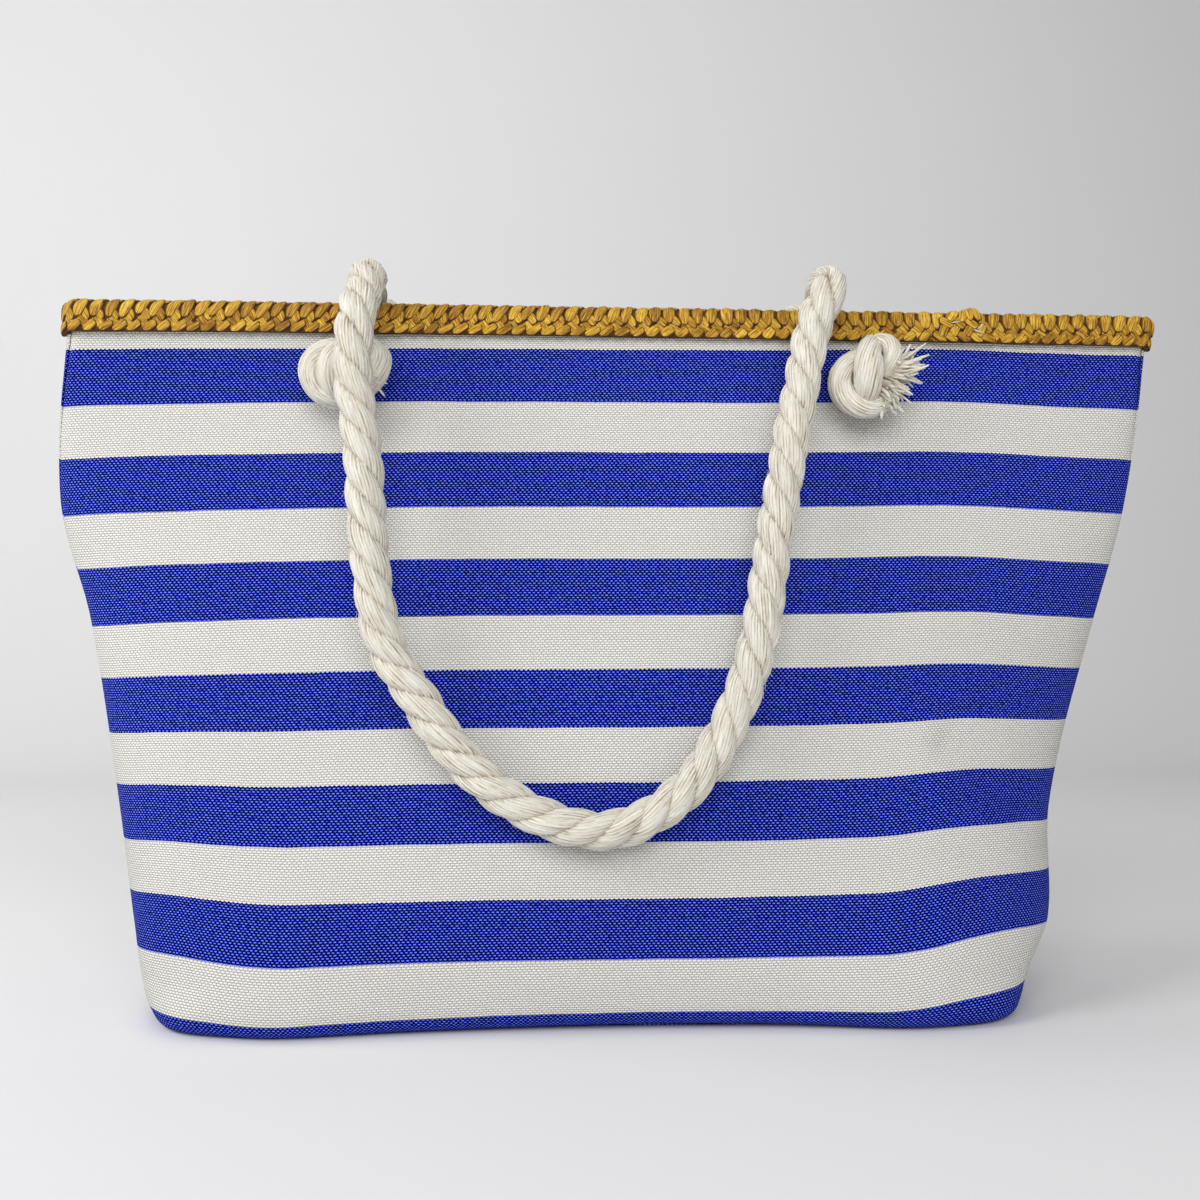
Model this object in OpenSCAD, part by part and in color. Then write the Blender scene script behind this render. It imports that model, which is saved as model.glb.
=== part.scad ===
// Striped canvas beach bag with a raffia-braided rim and two rope handles.
// Frame: millimetres, +Z up, origin on the ground under the middle of the bag.
// The front of the bag faces -Y and its right-hand end is at +X.

/* [Body] */
// Width of the rim from end to end, over the braid
rim_w = 545; // [500:5:580]
// Height of the rim, to the top of the braid
rim_h = 340; // [330:1:360]
// How far the pairs of eyelets sit off the middle of the rim
eyelet_shift = -10; // [-20:1:20]
// Distance between the two eyelets of one handle
eyelet_gap = 246; // [220:2:260]
// Height of the eyelets above the ground
eyelet_z = 302; // [300:1:306]

/* [Cloth] */
// Thickness of the outer canvas
canvas_t = 1.6; // [1.2:0.1:2]
// Thickness of the lining
lining_t = 0.8; // [0.5:0.1:1]
// Half of the bag's thickness at a side seam
seam_r = 6.5; // [6:0.5:7]

/* [Braid] */
// Height of the braid over the rim's edge
braid_h = 16.5; // [16:0.5:20]
// How far the braid stands out from the canvas
braid_t = 4.6; // [3:0.1:5]
// Where the braid's two ends are overlapped, along the front
splice_x = 168; // [140:1:190]

/* [Rope] */
// Diameter of the handle rope
rope_d = 18.4; // [17:0.2:19]
// Depth of a knot, out from the canvas
knot_depth = 28; // [26:1:28]

/* [Pocket] */
// Width of the inner pocket
pocket_w = 170; // [150:5:180]
// Height of the inner pocket
pocket_h = 120; // [100:5:125]
// How far the zip slider travels
zip_travel = 130; // [110:5:130]

/* [Hidden] */

gap = 0.3;                     // clearance between neighbouring pieces
rope_r = rope_d / 2;
rope_sides = 10;
braid_over = 5;                // depth of braid above the canvas edge
canvas_top = rim_h - braid_over - gap;
rim_half = rim_w / 2 - braid_t - gap - seam_r;
seam_gap = 1.5;                // from a side seam to where a half wall starts
base_t = 2.2;                  // thickness of the canvas base
board_t = 2.4;                 // thickness of the base board
wall_z0 = 0.4;                 // lower edge of the canvas walls
seam_slit = 0.03;              // from a seam's middle to the edge of a half wall, in u
foot_r = 10;                   // radius with which the walls turn under to the base
eyelet_r = rope_r + 1.1;       // inner radius of an eyelet
barrel_t = 1;                  // wall of an eyelet's barrel
flange_w = 3.4;                // width of an eyelet's flange and of its washer
flange_t = 1.4;
eyelet_lift = 0.8;             // the canvas curves a little under a flange
hole_r = eyelet_r + barrel_t + gap;
cloth_t = canvas_t + gap + lining_t;

// The bag's middle lines, upwards: height, left end, right end, front, back,
// the side seams' place from front to back, and squareness (1 is a lens).
STATIONS = [
    [0, 208, 176, -72, 72, 0, 4.4],
    [12, 219, 190, -76, 76, 0, 4.4],
    [45, 227, 203, -77, 77, -2, 4.0],
    [95, 236, 208, -72, 72, -6, 3.2],
    [185, 252, 234, -56, 60, -14, 2.3],
    [245, 266, 250, -44, 51, -19, 1.8],
    [rim_h, rim_half, rim_half, -26, 38, -24, 1.1]
];

// Slope at station i of column k, by central difference
function slope(k, i) =
    let (lo = max(i - 1, 0), hi = min(i + 1, len(STATIONS) - 1))
    (STATIONS[hi][k] - STATIONS[lo][k]) / (STATIONS[hi][0] - STATIONS[lo][0]);

// Index of the stretch between stations that holds height z
function stretch(z, i = 0) =
    i >= len(STATIONS) - 2 || z <= STATIONS[i + 1][0] ? i : stretch(z, i + 1);

// Column k of the stations at height z, as a smooth curve
function station(k, z) =
    let (
        i = stretch(z),
        h = STATIONS[i + 1][0] - STATIONS[i][0],
        t = (z - STATIONS[i][0]) / h,
        a = STATIONS[i][k],
        b = STATIONS[i + 1][k]
    )
    a * (1 + 2 * t) * (1 - t) * (1 - t) + b * t * t * (3 - 2 * t)
    + slope(k, i) * h * t * (1 - t) * (1 - t) - slope(k, i + 1) * h * t * t * (1 - t);

// The bag's middle line at height z: side is -1 for the front and 1 for the back,
// and turn goes from 0 at the left seam to 180 at the right seam.
function middle(side, turn, z) =
    let (
        left = -station(1, z),
        right = station(2, z),
        seam_y = station(5, z),
        bulge = side < 0 ? station(3, z) - seam_y : station(4, z) - seam_y,
        q = station(6, z),
        p = 2 + (q - 1) * 0.8,
        c = -cos(turn),
        across = sign(c) * pow(abs(c), 2 / p)
    )
    [
        (left + right) / 2 + across * (right - left) / 2,
        seam_y + side * seam_gap
            + (bulge - side * seam_gap) * pow(max(sin(turn), 0), 2 / q)
    ];

// Direction in which the middle line faces outwards, as an angle
function facing(side, turn, z) =
    let (
        a = middle(side, max(turn - 1, 0), z),
        b = middle(side, min(turn + 1, 180), z),
        along = side < 0 ? b - a : a - b
    )
    atan2(-along[0], along[1]);

// A point of the wall that stands off the middle line. Round the bag, u goes
// 0 to 1 along the front, to 2 round the right seam, to 3 along the back
// from right to left, and to 4 round the left seam.
function wall(u, z, off) =
    let (
        v = u < 0 ? u + 4 : u >= 4 ? u - 4 : u,
        k = floor(v),
        s = v - k,
        turn = k == 0 ? s * 180 : k == 1 ? 180 : k == 2 ? 180 - s * 180 : 0,
        front = middle(-1, turn, z),
        back = middle(1, turn, z),
        f0 = facing(-1, turn, z),
        f1 = facing(1, turn, z),
        angle = k == 0 ? f0
            : k == 2 ? f1
            : k == 1 ? f0 + wrap(f1 - f0) * s
            : f1 + wrap(f0 - f1) * s,
        m = k == 0 ? front
            : k == 2 ? back
            : k == 1 ? front + (back - front) * s
            : back + (front - back) * s
    )
    [m[0] + off * cos(angle), m[1] + off * sin(angle), z];

// An angle between -180 and 180
function wrap(a) = a > 180 ? a - 360 : a <= -180 ? a + 360 : a;

// A closed skin between two rows-by-columns grids of points, outer and inner
module skin(outer, inner) {
    rows = len(outer);
    cols = len(outer[0]);
    n = rows * cols;
    points = concat([for (row = outer) each row], [for (row = inner) each row]);
    faces = concat(
        [for (i = [0:rows - 2], j = [0:cols - 2])
            each quad(i * cols + j, i * cols + j + 1, (i + 1) * cols + j + 1, (i + 1) * cols + j)],
        [for (i = [0:rows - 2], j = [0:cols - 2])
            each quad(n + i * cols + j, n + (i + 1) * cols + j,
                n + (i + 1) * cols + j + 1, n + i * cols + j + 1)],
        [for (j = [0:cols - 2]) each quad(j, n + j, n + j + 1, j + 1)],
        [for (j = [0:cols - 2])
            each quad(n - cols + j, n - cols + j + 1, 2 * n - cols + j + 1, 2 * n - cols + j)],
        [for (i = [0:rows - 2])
            each quad(i * cols, (i + 1) * cols, n + (i + 1) * cols, n + i * cols)],
        [for (i = [0:rows - 2])
            each quad(i * cols + cols - 1, n + i * cols + cols - 1,
                n + (i + 1) * cols + cols - 1, (i + 1) * cols + cols - 1)]
    );
    polyhedron(points, [for (f = faces) [f[2], f[1], f[0]]]);
}

// The two triangles of a four-cornered face
function quad(a, b, c, d) = [[a, b, c], [a, c, d]];

// Heights of the rings that the walls are built from
RING_Z = [2, 6, 12, 22, 45, 70, 95, 125, 155, 185, 215, 245, 275, 300, rim_h - braid_h];
function rings(low, high) =
    concat([low], [for (z = RING_Z) if (z > low + 1 && z < high - 4) z], [high]);

// How far the wall is drawn in at height z, as it turns under to the base
function turn_in(z) =
    z >= foot_r ? 0 : foot_r - sqrt(foot_r * foot_r - (foot_r - z) * (foot_r - z));

// Columns of a half wall: from inside one seam's cap, along, to the other's
CAP_STEPS = 3;
RUN_STEPS = 30;
function columns(start, from_seam) =
    concat(
        [for (i = [0:CAP_STEPS - 1]) start - 0.5 + from_seam + (0.5 - from_seam) * i / CAP_STEPS],
        [for (i = [0:RUN_STEPS]) start + i / RUN_STEPS],
        [for (i = [1:CAP_STEPS]) start + 1 + (0.5 - from_seam) * i / CAP_STEPS]
    );

// Half of the bag's wall: start is 0 for the front and 2 for the back
module half_wall(start, off, thick, low, high) {
    us = columns(start, seam_slit);
    skin(
        [for (z = rings(low, high)) [for (u = us) wall(u, z, off - turn_in(z))]],
        [for (z = rings(low, high)) [for (u = us) wall(u, z, off - thick - turn_in(z))]]
    );
}

// Places of the eyelets: x, and the side of the bag they are on
EYELETS = [
    for (side = [-1, 1], end = [-1, 1]) [eyelet_shift + end * eyelet_gap / 2, side]
];

// The turn at which the middle line of a side passes x, by halving
function turn_at(side, x, z, lo = 0, hi = 180, n = 24) =
    n == 0 ? (lo + hi) / 2
    : middle(side, (lo + hi) / 2, z)[0] < x ? turn_at(side, x, z, (lo + hi) / 2, hi, n - 1)
    : turn_at(side, x, z, lo, (lo + hi) / 2, n - 1);

// How the u of a wall counts from the turn on a side
function u_at(side, x, z) =
    let (turn = turn_at(side, x, z)) side < 0 ? turn / 180 : 3 - turn / 180;

// The point of a side's wall at x and z, at an offset from the middle line
function on_face(side, x, z, off) = wall(u_at(side, x, z), z, off);

// The angle by which a side's wall leans back at x and z
function lean(side, x, z) =
    atan(side * (on_face(side, x, z - 8, 0)[1] - on_face(side, x, z + 8, 0)[1]) / 16);

// The outward direction of a side's wall at x and z, as a vector
function outward(side, x, z) =
    let (a = facing(side, turn_at(side, x, z), z), e = lean(side, x, z))
    [cos(a) * cos(e), sin(a) * cos(e), sin(e)];

// Puts its children on a side's wall, with their +Z pointing out of the bag,
// their +X down the wall and their +Y along it
module at_face(side, x, z, off) {
    translate(on_face(side, x, z, off))
        rotate([0, 90 - lean(side, x, z), facing(side, turn_at(side, x, z), z)])
            children();
}

// Moves its children to eyelet i, out from the canvas
module at_eyelet(i, out = 0) {
    at_face(EYELETS[i][1], EYELETS[i][0], eyelet_z, seam_r) translate([0, 0, out]) children();
}

// Four holes through a wall, where the ropes pass
module rope_holes() {
    for (i = [0:3])
        at_eyelet(i) cylinder(r = hole_r, h = 40, center = true, $fn = 48);
}

module front_panel() {
    color([0.12, 0.2, 0.62])
        difference() {
            half_wall(0, seam_r, canvas_t, wall_z0, canvas_top);
            rope_holes();
        }
}

module back_panel() {
    color([0.12, 0.2, 0.62])
        difference() {
            half_wall(2, seam_r, canvas_t, wall_z0, canvas_top);
            rope_holes();
        }
}

// Outline of the bag's inside at height z, drawn in by inset
module floor_outline(z, inset) {
    polygon([for (i = [0:95]) let (w = wall(i / 24, z, seam_r - inset)) [w[0], w[1]]]);
}

module base_panel() {
    color([0.12, 0.2, 0.62])
        linear_extrude(base_t)
            floor_outline(0, canvas_t + turn_in(wall_z0) + gap);
}

module base_board() {
    color([0.55, 0.45, 0.34])
        translate([0, 0, base_t + gap])
            linear_extrude(board_t)
                floor_outline(0, canvas_t + turn_in(2) + lining_t + 3);
}

LINING_Z = base_t + board_t + 2 * gap;
lining_off = seam_r - canvas_t - gap;

module lining_base() {
    color([0.9, 0.88, 0.82])
        translate([0, 0, LINING_Z])
            linear_extrude(lining_t)
                floor_outline(6, canvas_t + 2 * gap + lining_t + turn_in(LINING_Z) + 1.2);
}

// Half of the lining, with its rope holes
module lining_half(start) {
    difference() {
        half_wall(start, lining_off, lining_t, LINING_Z, canvas_top);
        rope_holes();
    }
}

module lining_front() {
    color([0.9, 0.88, 0.82]) lining_half(0);
}

module lining_back() {
    color([0.9, 0.88, 0.82]) lining_half(2);
}

// A strip over one side seam: start is 1 for the right seam and 3 for the left
module side_binding(start) {
    low = 3;
    high = rim_h - braid_h - gap;
    us = [for (s = [0.25, 0.37, 0.5, 0.63, 0.75]) start + s];
    skin(
        [for (z = rings(low, high)) [for (u = us) wall(u, z, seam_r + gap + 1.2 - turn_in(z))]],
        [for (z = rings(low, high)) [for (u = us) wall(u, z, seam_r + gap - turn_in(z))]]
    );
}

module side_binding_left() {
    color([0.88, 0.86, 0.8]) side_binding(3);
}

module side_binding_right() {
    color([0.88, 0.86, 0.8]) side_binding(1);
}

// Section of the braid as offset from the middle line and height, round the rim
BRAID_IN = lining_off - lining_t - gap;
BRAID_OUT = seam_r + gap;
BRAID_SECTION = [
    [BRAID_OUT, rim_h - braid_h],
    [BRAID_OUT + braid_t * 0.8, rim_h - braid_h],
    [BRAID_OUT + braid_t, rim_h - braid_h + 3],
    [BRAID_OUT + braid_t, rim_h - 4],
    [BRAID_OUT + braid_t * 0.6, rim_h - 0.8],
    [BRAID_OUT, rim_h],
    [BRAID_IN, rim_h],
    [BRAID_IN - 1.6, rim_h - 1.6],
    [BRAID_IN - 1.8, rim_h - braid_h],
    [BRAID_IN, rim_h - braid_h],
    [BRAID_IN, canvas_top + gap],
    [BRAID_OUT, canvas_top + gap]
];

// Places round the rim of the braid's sections, as on the walls
BRAID_U = [
    for (side = [0, 2])
        each concat(
            [for (i = [0:RUN_STEPS - 1]) side + i / RUN_STEPS],
            [for (i = [0:2 * CAP_STEPS - 1]) side + 1 + i / (2 * CAP_STEPS)]
        )
];

module braid_trim() {
    n = len(BRAID_U);
    m = len(BRAID_SECTION);
    color([0.8, 0.6, 0.2])
        polyhedron(
            [for (u = BRAID_U, s = BRAID_SECTION) wall(u, s[1], s[0])],
            [for (i = [0:n - 1], j = [0:m - 1])
                each quad(i * m + j, i * m + (j + 1) % m,
                    ((i + 1) % n) * m + (j + 1) % m, ((i + 1) % n) * m + j)]
        );
}

module trim_splice() {
    us = [for (x = [-9, -3, 3, 9]) turn_at(-1, splice_x + x, canvas_top) / 180];
    zs = [rim_h - braid_h - 1, rim_h - braid_h / 2, rim_h + 1];
    off = BRAID_OUT + braid_t + gap;
    color([0.78, 0.56, 0.18])
        skin(
            [for (z = zs) [for (u = us) wall(u, z, off + 2.2)]],
            [for (z = zs) [for (u = us) wall(u, z, off)]]
        );
}

// An eyelet: a flange on the canvas and a barrel through the cloth
module eyelet() {
    barrel = cloth_t + 3 * gap + 2;
    rotate_extrude($fn = 64)
        translate([eyelet_r, 0])
            union() {
                translate([0, gap]) square([flange_w, flange_t]);
                translate([0, -barrel]) square([barrel_t, barrel + gap + flange_t]);
            }
}

// A flat washer on the barrel's inner end
module eyelet_washer() {
    translate([0, 0, -cloth_t - 2 * eyelet_lift - gap - 1])
        rotate_extrude($fn = 64)
            translate([eyelet_r + barrel_t + 0.1, 0])
                square([flange_w - barrel_t, 1]);
}

module place_eyelet(i) {
    color([0.78, 0.66, 0.36]) at_eyelet(i, eyelet_lift) eyelet();
}

module place_washer(i) {
    color([0.78, 0.66, 0.36]) at_eyelet(i, eyelet_lift) eyelet_washer();
}

module eyelet_front_left() place_eyelet(0);
module eyelet_front_right() place_eyelet(1);
module eyelet_back_left() place_eyelet(2);
module eyelet_back_right() place_eyelet(3);
module eyelet_washer_front_left() place_washer(0);
module eyelet_washer_front_right() place_washer(1);
module eyelet_washer_back_left() place_washer(2);
module eyelet_washer_back_right() place_washer(3);

// A knot: two overlapped turns of rope against the eyelet, the neck that goes
// into it, and the frayed tail. along is the angle of the knot's longer way
// from straight down, tail the angle of the tail, and tail_l its length.
knot_out = eyelet_lift + gap + flange_t + gap;
module knot(i, along, tail, tail_l) {
    r = knot_depth / 2;
    spread = 6.5;
    color([0.9, 0.86, 0.76])
        at_eyelet(i, knot_out) {
            cylinder(r = rope_r, h = r, $fn = 32);
            translate([0, 0, r])
                union() {
                    hull()
                        for (s = [-1, 1])
                            rotate([0, 0, along]) translate([s * spread, 0, 0]) sphere(r, $fn = 32);
                    rotate([0, 90, tail]) cylinder(r1 = 7, r2 = 11, h = r + tail_l, $fn = 32);
                }
        }
}

module knot_front_left() knot(0, 90, 70, 8);
module knot_front_right() knot(1, 0, 80, 17);
module knot_back_left() knot(2, 90, 110, 8);
module knot_back_right() knot(3, 0, -80, 17);

// Unit vector along v
function unit(v) = v / norm(v);

// The direction of a path at each of its points
function tangents(path) =
    let (n = len(path) - 1)
    [for (i = [0:n]) unit(path[min(i + 1, n)] - path[max(i - 1, 0)])];

// Side vectors for a path's rings, each carried on from the one before
function carried(ts, side, i = 0) =
    let (s = unit(side - (side * ts[i]) * ts[i]))
    i == len(ts) - 1 ? [s] : concat([s], carried(ts, s, i + 1));

// A rope's tube along a path
module tube(path, r, first_side) {
    ts = tangents(path);
    sides = carried(ts, first_side);
    n = len(path);
    k = rope_sides;
    points = [for (i = [0:n - 1], j = [0:k - 1])
        let (a = 360 * j / k)
        path[i] + r * (cos(a) * sides[i] + sin(a) * cross(ts[i], sides[i]))];
    faces = concat(
        [for (i = [0:n - 2], j = [0:k - 1])
            each quad(i * k + (j + 1) % k, i * k + j, (i + 1) * k + j, (i + 1) * k + (j + 1) % k)],
        [[for (j = [0:k - 1]) j], [for (j = [k - 1:-1:0]) (n - 1) * k + j]]
    );
    polyhedron(points, faces);
}

// The way of a rope from its eyelet, up inside the bag and over the braid:
// share of its drift sideways, distance out from the canvas, height above the eyelet
OVER_RIM = [
    [0.2, -19.5, 3], [0.4, -25, 16], [0.6, -25, 30], [0.8, -20, 43],
    [0.95, -8.5, 48.8], [1, 3, 48], [1, 10, 45]
];
// Where each rope lies across the rim, from its eyelet
OVER_DRIFT = [9, -14, 9, -14];

function rope_end_path(i) =
    let (
        x = EYELETS[i][0],
        side = EYELETS[i][1],
        c = on_face(side, x, eyelet_z, seam_r),
        n = outward(side, x, eyelet_z)
    )
    concat(
        [c + n * knot_out, c, c - n * 9],
        [for (p = OVER_RIM) [x + p[0] * OVER_DRIFT[i], c[1] + side * p[1], eyelet_z + p[2]]]
    );

module rope_end(i) {
    color([0.9, 0.86, 0.76]) tube(rope_end_path(i), rope_r, [1, 0, 0]);
}

module rope_end_front_left() rope_end(0);
module rope_end_front_right() rope_end(1);
module rope_end_back_left() rope_end(2);
module rope_end_back_right() rope_end(3);

// The front handle as it hangs, from its left end over the braid to its right
FRONT_LOOP = [
    [-124, -58, 338], [-125, -69.5, 328], [-126, -77.5, 313], [-126, -79, 292],
    [-122, -79, 265], [-118, -82, 214], [-111, -85, 176], [-97, -87, 152],
    [-71, -90, 118], [-38, -92, 97], [-8, -92, 93], [22, -90, 109],
    [43, -85, 139], [56, -81, 172], [66, -74, 224], [77, -64, 275],
    [83, -58, 300], [86, -55, 314], [91, -52, 330]
];

// The back handle hangs as the front one does, a little further out
back_out = 6;
BACK_LOOP = [for (p = FRONT_LOOP) [p[0], back_out - p[1], p[2]]];

// A loop's path, from the end of one rope end to the end of the other
function loop_path(points, left, right) =
    let (
        a = rope_end_path(left),
        b = rope_end_path(right),
        m = len(a) - 1,
        to_a = unit(a[m] - a[m - 1]),
        to_b = unit(b[m] - b[m - 1]),
        step = 5
    )
    concat(
        [a[m] + gap / 2 * to_a, a[m] + step * to_a],
        points,
        [b[m] + step * to_b, b[m] + gap / 2 * to_b]
    );

module front_handle() {
    color([0.92, 0.88, 0.78]) tube(loop_path(FRONT_LOOP, 0, 1), rope_r, [1, 0, 0]);
}

module back_handle() {
    color([0.92, 0.88, 0.78]) tube(loop_path(BACK_LOOP, 2, 3), rope_r, [1, 0, 0]);
}

// The magnetic snap, inside the middle of the rim
snap_z = 308;
snap_r = 9;
patch_side = 26;
patch_t = 0.8;
snap_off = seam_r - cloth_t - gap; // where its patches lie, off the middle line

// A piece on the inside of a side's lining, with its +Z pointing into the bag
module inside_face(side, x, z, out) {
    at_face(side, x, z, snap_off) rotate([0, 180, 0]) translate([0, 0, out]) children();
}

module snap_patch(side) {
    color([0.84, 0.8, 0.72])
        inside_face(side, 0, snap_z, gap)
            linear_extrude(patch_t)
                difference() {
                    square(patch_side, center = true);
                    for (s = [-1, 1]) translate([0, s * 5]) square([5, 1.2], center = true);
                }
}

module snap_patch_front() snap_patch(-1);
module snap_patch_back() snap_patch(1);

module snap_socket() {
    color([0.8, 0.7, 0.42])
        inside_face(-1, 0, snap_z, 2 * gap + patch_t)
            difference() {
                cylinder(r = snap_r, h = 3, $fn = 64);
                translate([0, 0, 1.5]) cylinder(r = 4.3, h = 3, $fn = 48);
            }
}

module snap_stud() {
    color([0.8, 0.7, 0.42])
        inside_face(1, 0, snap_z, 2 * gap + patch_t)
            union() {
                cylinder(r = snap_r, h = 2, $fn = 64);
                cylinder(r = 4, h = 3.3, $fn = 48);
            }
}

// The zipped pocket, inside the back
zip_z = 232;
pocket_top = zip_z + 14;
pocket_back = snap_off - gap;
pocket_t = 1.2;

// The flat inner face of the pocket at height z
function pocket_y(z) = on_face(1, pocket_w / 2, z, pocket_back - pocket_t)[1];

module pocket_pouch() {
    zs = [for (i = [0:6]) pocket_top - pocket_h + i * pocket_h / 6];
    xs = [for (i = [0:10]) pocket_w / 2 - i * pocket_w / 10];
    color([0.86, 0.84, 0.78])
        skin(
            [for (z = zs) [for (x = xs) on_face(1, x, z, pocket_back)]],
            [for (z = zs) [for (x = xs) [x, pocket_y(z), z]]]
        );
}

// Puts its children on the pocket's face at zip height: +X along the zip,
// +Y into the bag, +Z up the pocket
module at_zip(out) {
    slope = atan((pocket_y(zip_z - 10) - pocket_y(zip_z + 10)) / 20);
    translate([0, pocket_y(zip_z), zip_z])
        rotate([slope, 0, 0])
            mirror([0, 1, 0])
                translate([0, out, 0])
                    children();
}

zip_l = zip_travel + 22;
tape_t = 0.5;
teeth_h = 4.4;
tooth_t = 1.5;
tooth_pitch = 2.4;
zip_tilt_gap = 0.5;            // the pocket's face curves a little under the tape

// A flat box centred along X and Z, standing out from y
module slab(w, y, t, h) {
    translate([-w / 2, y, -h / 2]) cube([w, t, h]);
}

module zip_tape() {
    color([0.85, 0.82, 0.74]) at_zip(zip_tilt_gap) slab(zip_l, 0, tape_t, 24);
}

module zip_teeth() {
    n = floor((zip_travel + 8) / tooth_pitch);
    color([0.8, 0.7, 0.42])
        at_zip(zip_tilt_gap + tape_t)
            for (i = [0:n])
                translate([(i - n / 2) * tooth_pitch, 0, 0]) slab(1.4, 0, tooth_t, teeth_h);
}

module zip_stops() {
    color([0.8, 0.7, 0.42])
        at_zip(zip_tilt_gap + tape_t)
            for (s = [-1, 1])
                translate([s * (zip_l / 2 - 3), 0, 0]) slab(2.4, 0, tooth_t + 1, 7);
}

slider_l = 8;
slider_x = -zip_travel / 2;    // where the slider stands, at the closed end
slider_h = 8;
bail_r = 1;                    // radius of the pin that the puller turns on
puller_y = 4.9;                // height of that pin over the slider's foot

// The slider stands over the teeth and carries the puller's pin
module zip_slider() {
    wall_t = 1.2;
    color([0.8, 0.7, 0.42])
        at_zip(zip_tilt_gap + tape_t + gap)
            translate([slider_x, 0, 0]) {
                difference() {
                    slab(slider_l, 0, tooth_t + wall_t, slider_h);
                    slab(slider_l + 2, -1, tooth_t + 1 + gap, teeth_h + 2 * gap);
                }
                for (s = [-1, 1])
                    translate([s * 3, tooth_t + wall_t - 0.1, 0]) slab(1.2, 0, 3.6, 2.6);
                translate([0, puller_y, 0])
                    rotate([0, 90, 0]) cylinder(r = bail_r, h = 6, center = true, $fn = 32);
            }
}

module zip_puller() {
    w = 4.4;
    l = 22;
    t = 1.4;
    color([0.8, 0.7, 0.42])
        at_zip(zip_tilt_gap + tape_t + gap)
            translate([slider_x, puller_y, 0])
                difference() {
                    union() {
                        rotate([0, 90, 0]) cylinder(r = bail_r + 0.9, h = w, center = true, $fn = 32);
                        translate([-w / 2, -t / 2, -l]) cube([w, t, l]);
                        translate([0, 0, -l]) rotate([90, 0, 0])
                            cylinder(r = 3.6, h = t, center = true, $fn = 32);
                    }
                    rotate([0, 90, 0]) cylinder(r = bail_r + 0.08, h = w + 2, center = true, $fn = 32);
                    translate([0, 0, -l]) rotate([90, 0, 0])
                        cylinder(r = 1.6, h = t + 2, center = true, $fn = 32);
                }
}

front_panel();
back_panel();
base_panel();
base_board();
lining_front();
lining_back();
lining_base();
side_binding_left();
side_binding_right();
braid_trim();
trim_splice();
eyelet_front_left();
eyelet_front_right();
eyelet_back_left();
eyelet_back_right();
eyelet_washer_front_left();
eyelet_washer_front_right();
eyelet_washer_back_left();
eyelet_washer_back_right();
knot_front_left();
knot_front_right();
knot_back_left();
knot_back_right();
rope_end_front_left();
rope_end_front_right();
rope_end_back_left();
rope_end_back_right();
front_handle();
back_handle();
snap_socket();
snap_stud();
snap_patch_front();
snap_patch_back();
pocket_pouch();
zip_tape();
zip_teeth();
zip_stops();
zip_slider();
zip_puller();
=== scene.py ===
"""Looks of a striped canvas beach bag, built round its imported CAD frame.

Lengths are in millimetres until a mesh is made, which turns them to metres.
"""
import math

import bpy
import numpy as np
from mathutils import Euler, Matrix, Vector


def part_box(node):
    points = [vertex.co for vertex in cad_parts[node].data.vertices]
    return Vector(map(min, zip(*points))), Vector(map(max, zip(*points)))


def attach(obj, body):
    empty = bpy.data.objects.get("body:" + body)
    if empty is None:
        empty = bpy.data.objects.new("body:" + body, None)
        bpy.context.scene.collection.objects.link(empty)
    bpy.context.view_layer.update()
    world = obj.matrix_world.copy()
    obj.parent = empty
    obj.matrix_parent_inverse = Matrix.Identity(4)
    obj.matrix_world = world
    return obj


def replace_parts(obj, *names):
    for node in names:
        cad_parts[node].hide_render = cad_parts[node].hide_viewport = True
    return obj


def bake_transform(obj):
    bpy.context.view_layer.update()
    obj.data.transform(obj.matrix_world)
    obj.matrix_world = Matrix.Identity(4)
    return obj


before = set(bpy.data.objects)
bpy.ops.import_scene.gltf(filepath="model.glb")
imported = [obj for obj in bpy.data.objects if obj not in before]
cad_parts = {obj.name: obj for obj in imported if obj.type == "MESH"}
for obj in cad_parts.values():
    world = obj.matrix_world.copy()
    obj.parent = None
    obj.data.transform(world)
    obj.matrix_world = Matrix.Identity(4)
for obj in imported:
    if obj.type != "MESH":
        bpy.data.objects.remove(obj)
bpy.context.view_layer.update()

MM = 0.001


def corners(node):
    """Lowest and highest corner of a CAD node, in mm."""
    low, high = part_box(node)
    return np.array(low) / MM, np.array(high) / MM


# ---------------------------------------------------------------- sizes

trim_low, trim_high = corners("braid_trim")
RIM_W = trim_high[0] - trim_low[0]
RIM_H = trim_high[2]
BRAID_H = RIM_H - trim_low[2]
BRAID_T = 4.6
SPLICE_X = 168.0
GAP = 0.3
SEAM_R = 6.5
SEAM_GAP = 1.5
CANVAS_T = 1.6
LINING_T = 0.8
CANVAS_TOP = RIM_H - 5.3
LINING_OFF = SEAM_R - CANVAS_T - GAP
LINING_Z = 5.2
RIM_HALF = RIM_W / 2 - BRAID_T - GAP - SEAM_R
EYELET_SHIFT = -10.0
EYELET_GAP = 246.0
EYELET_Z = 302.0
EYELET_HOLE = 11.4
ROPE_R = 9.2
KNOT_OUT = 2.8
POCKET_W = 170.0
POCKET_H = 120.0
POCKET_TOP = 246.0
POCKET_T = 1.2
HEM = 5.0
SNAP_Z = 308.0
PATCH_SIDE = 26.0
SNAP_OFF = LINING_OFF - LINING_T - GAP   # where cloth pieces lie on the lining
POCKET_OFF = SNAP_OFF - GAP

# ---------------------------------------------------------------- shape of the bag

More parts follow.
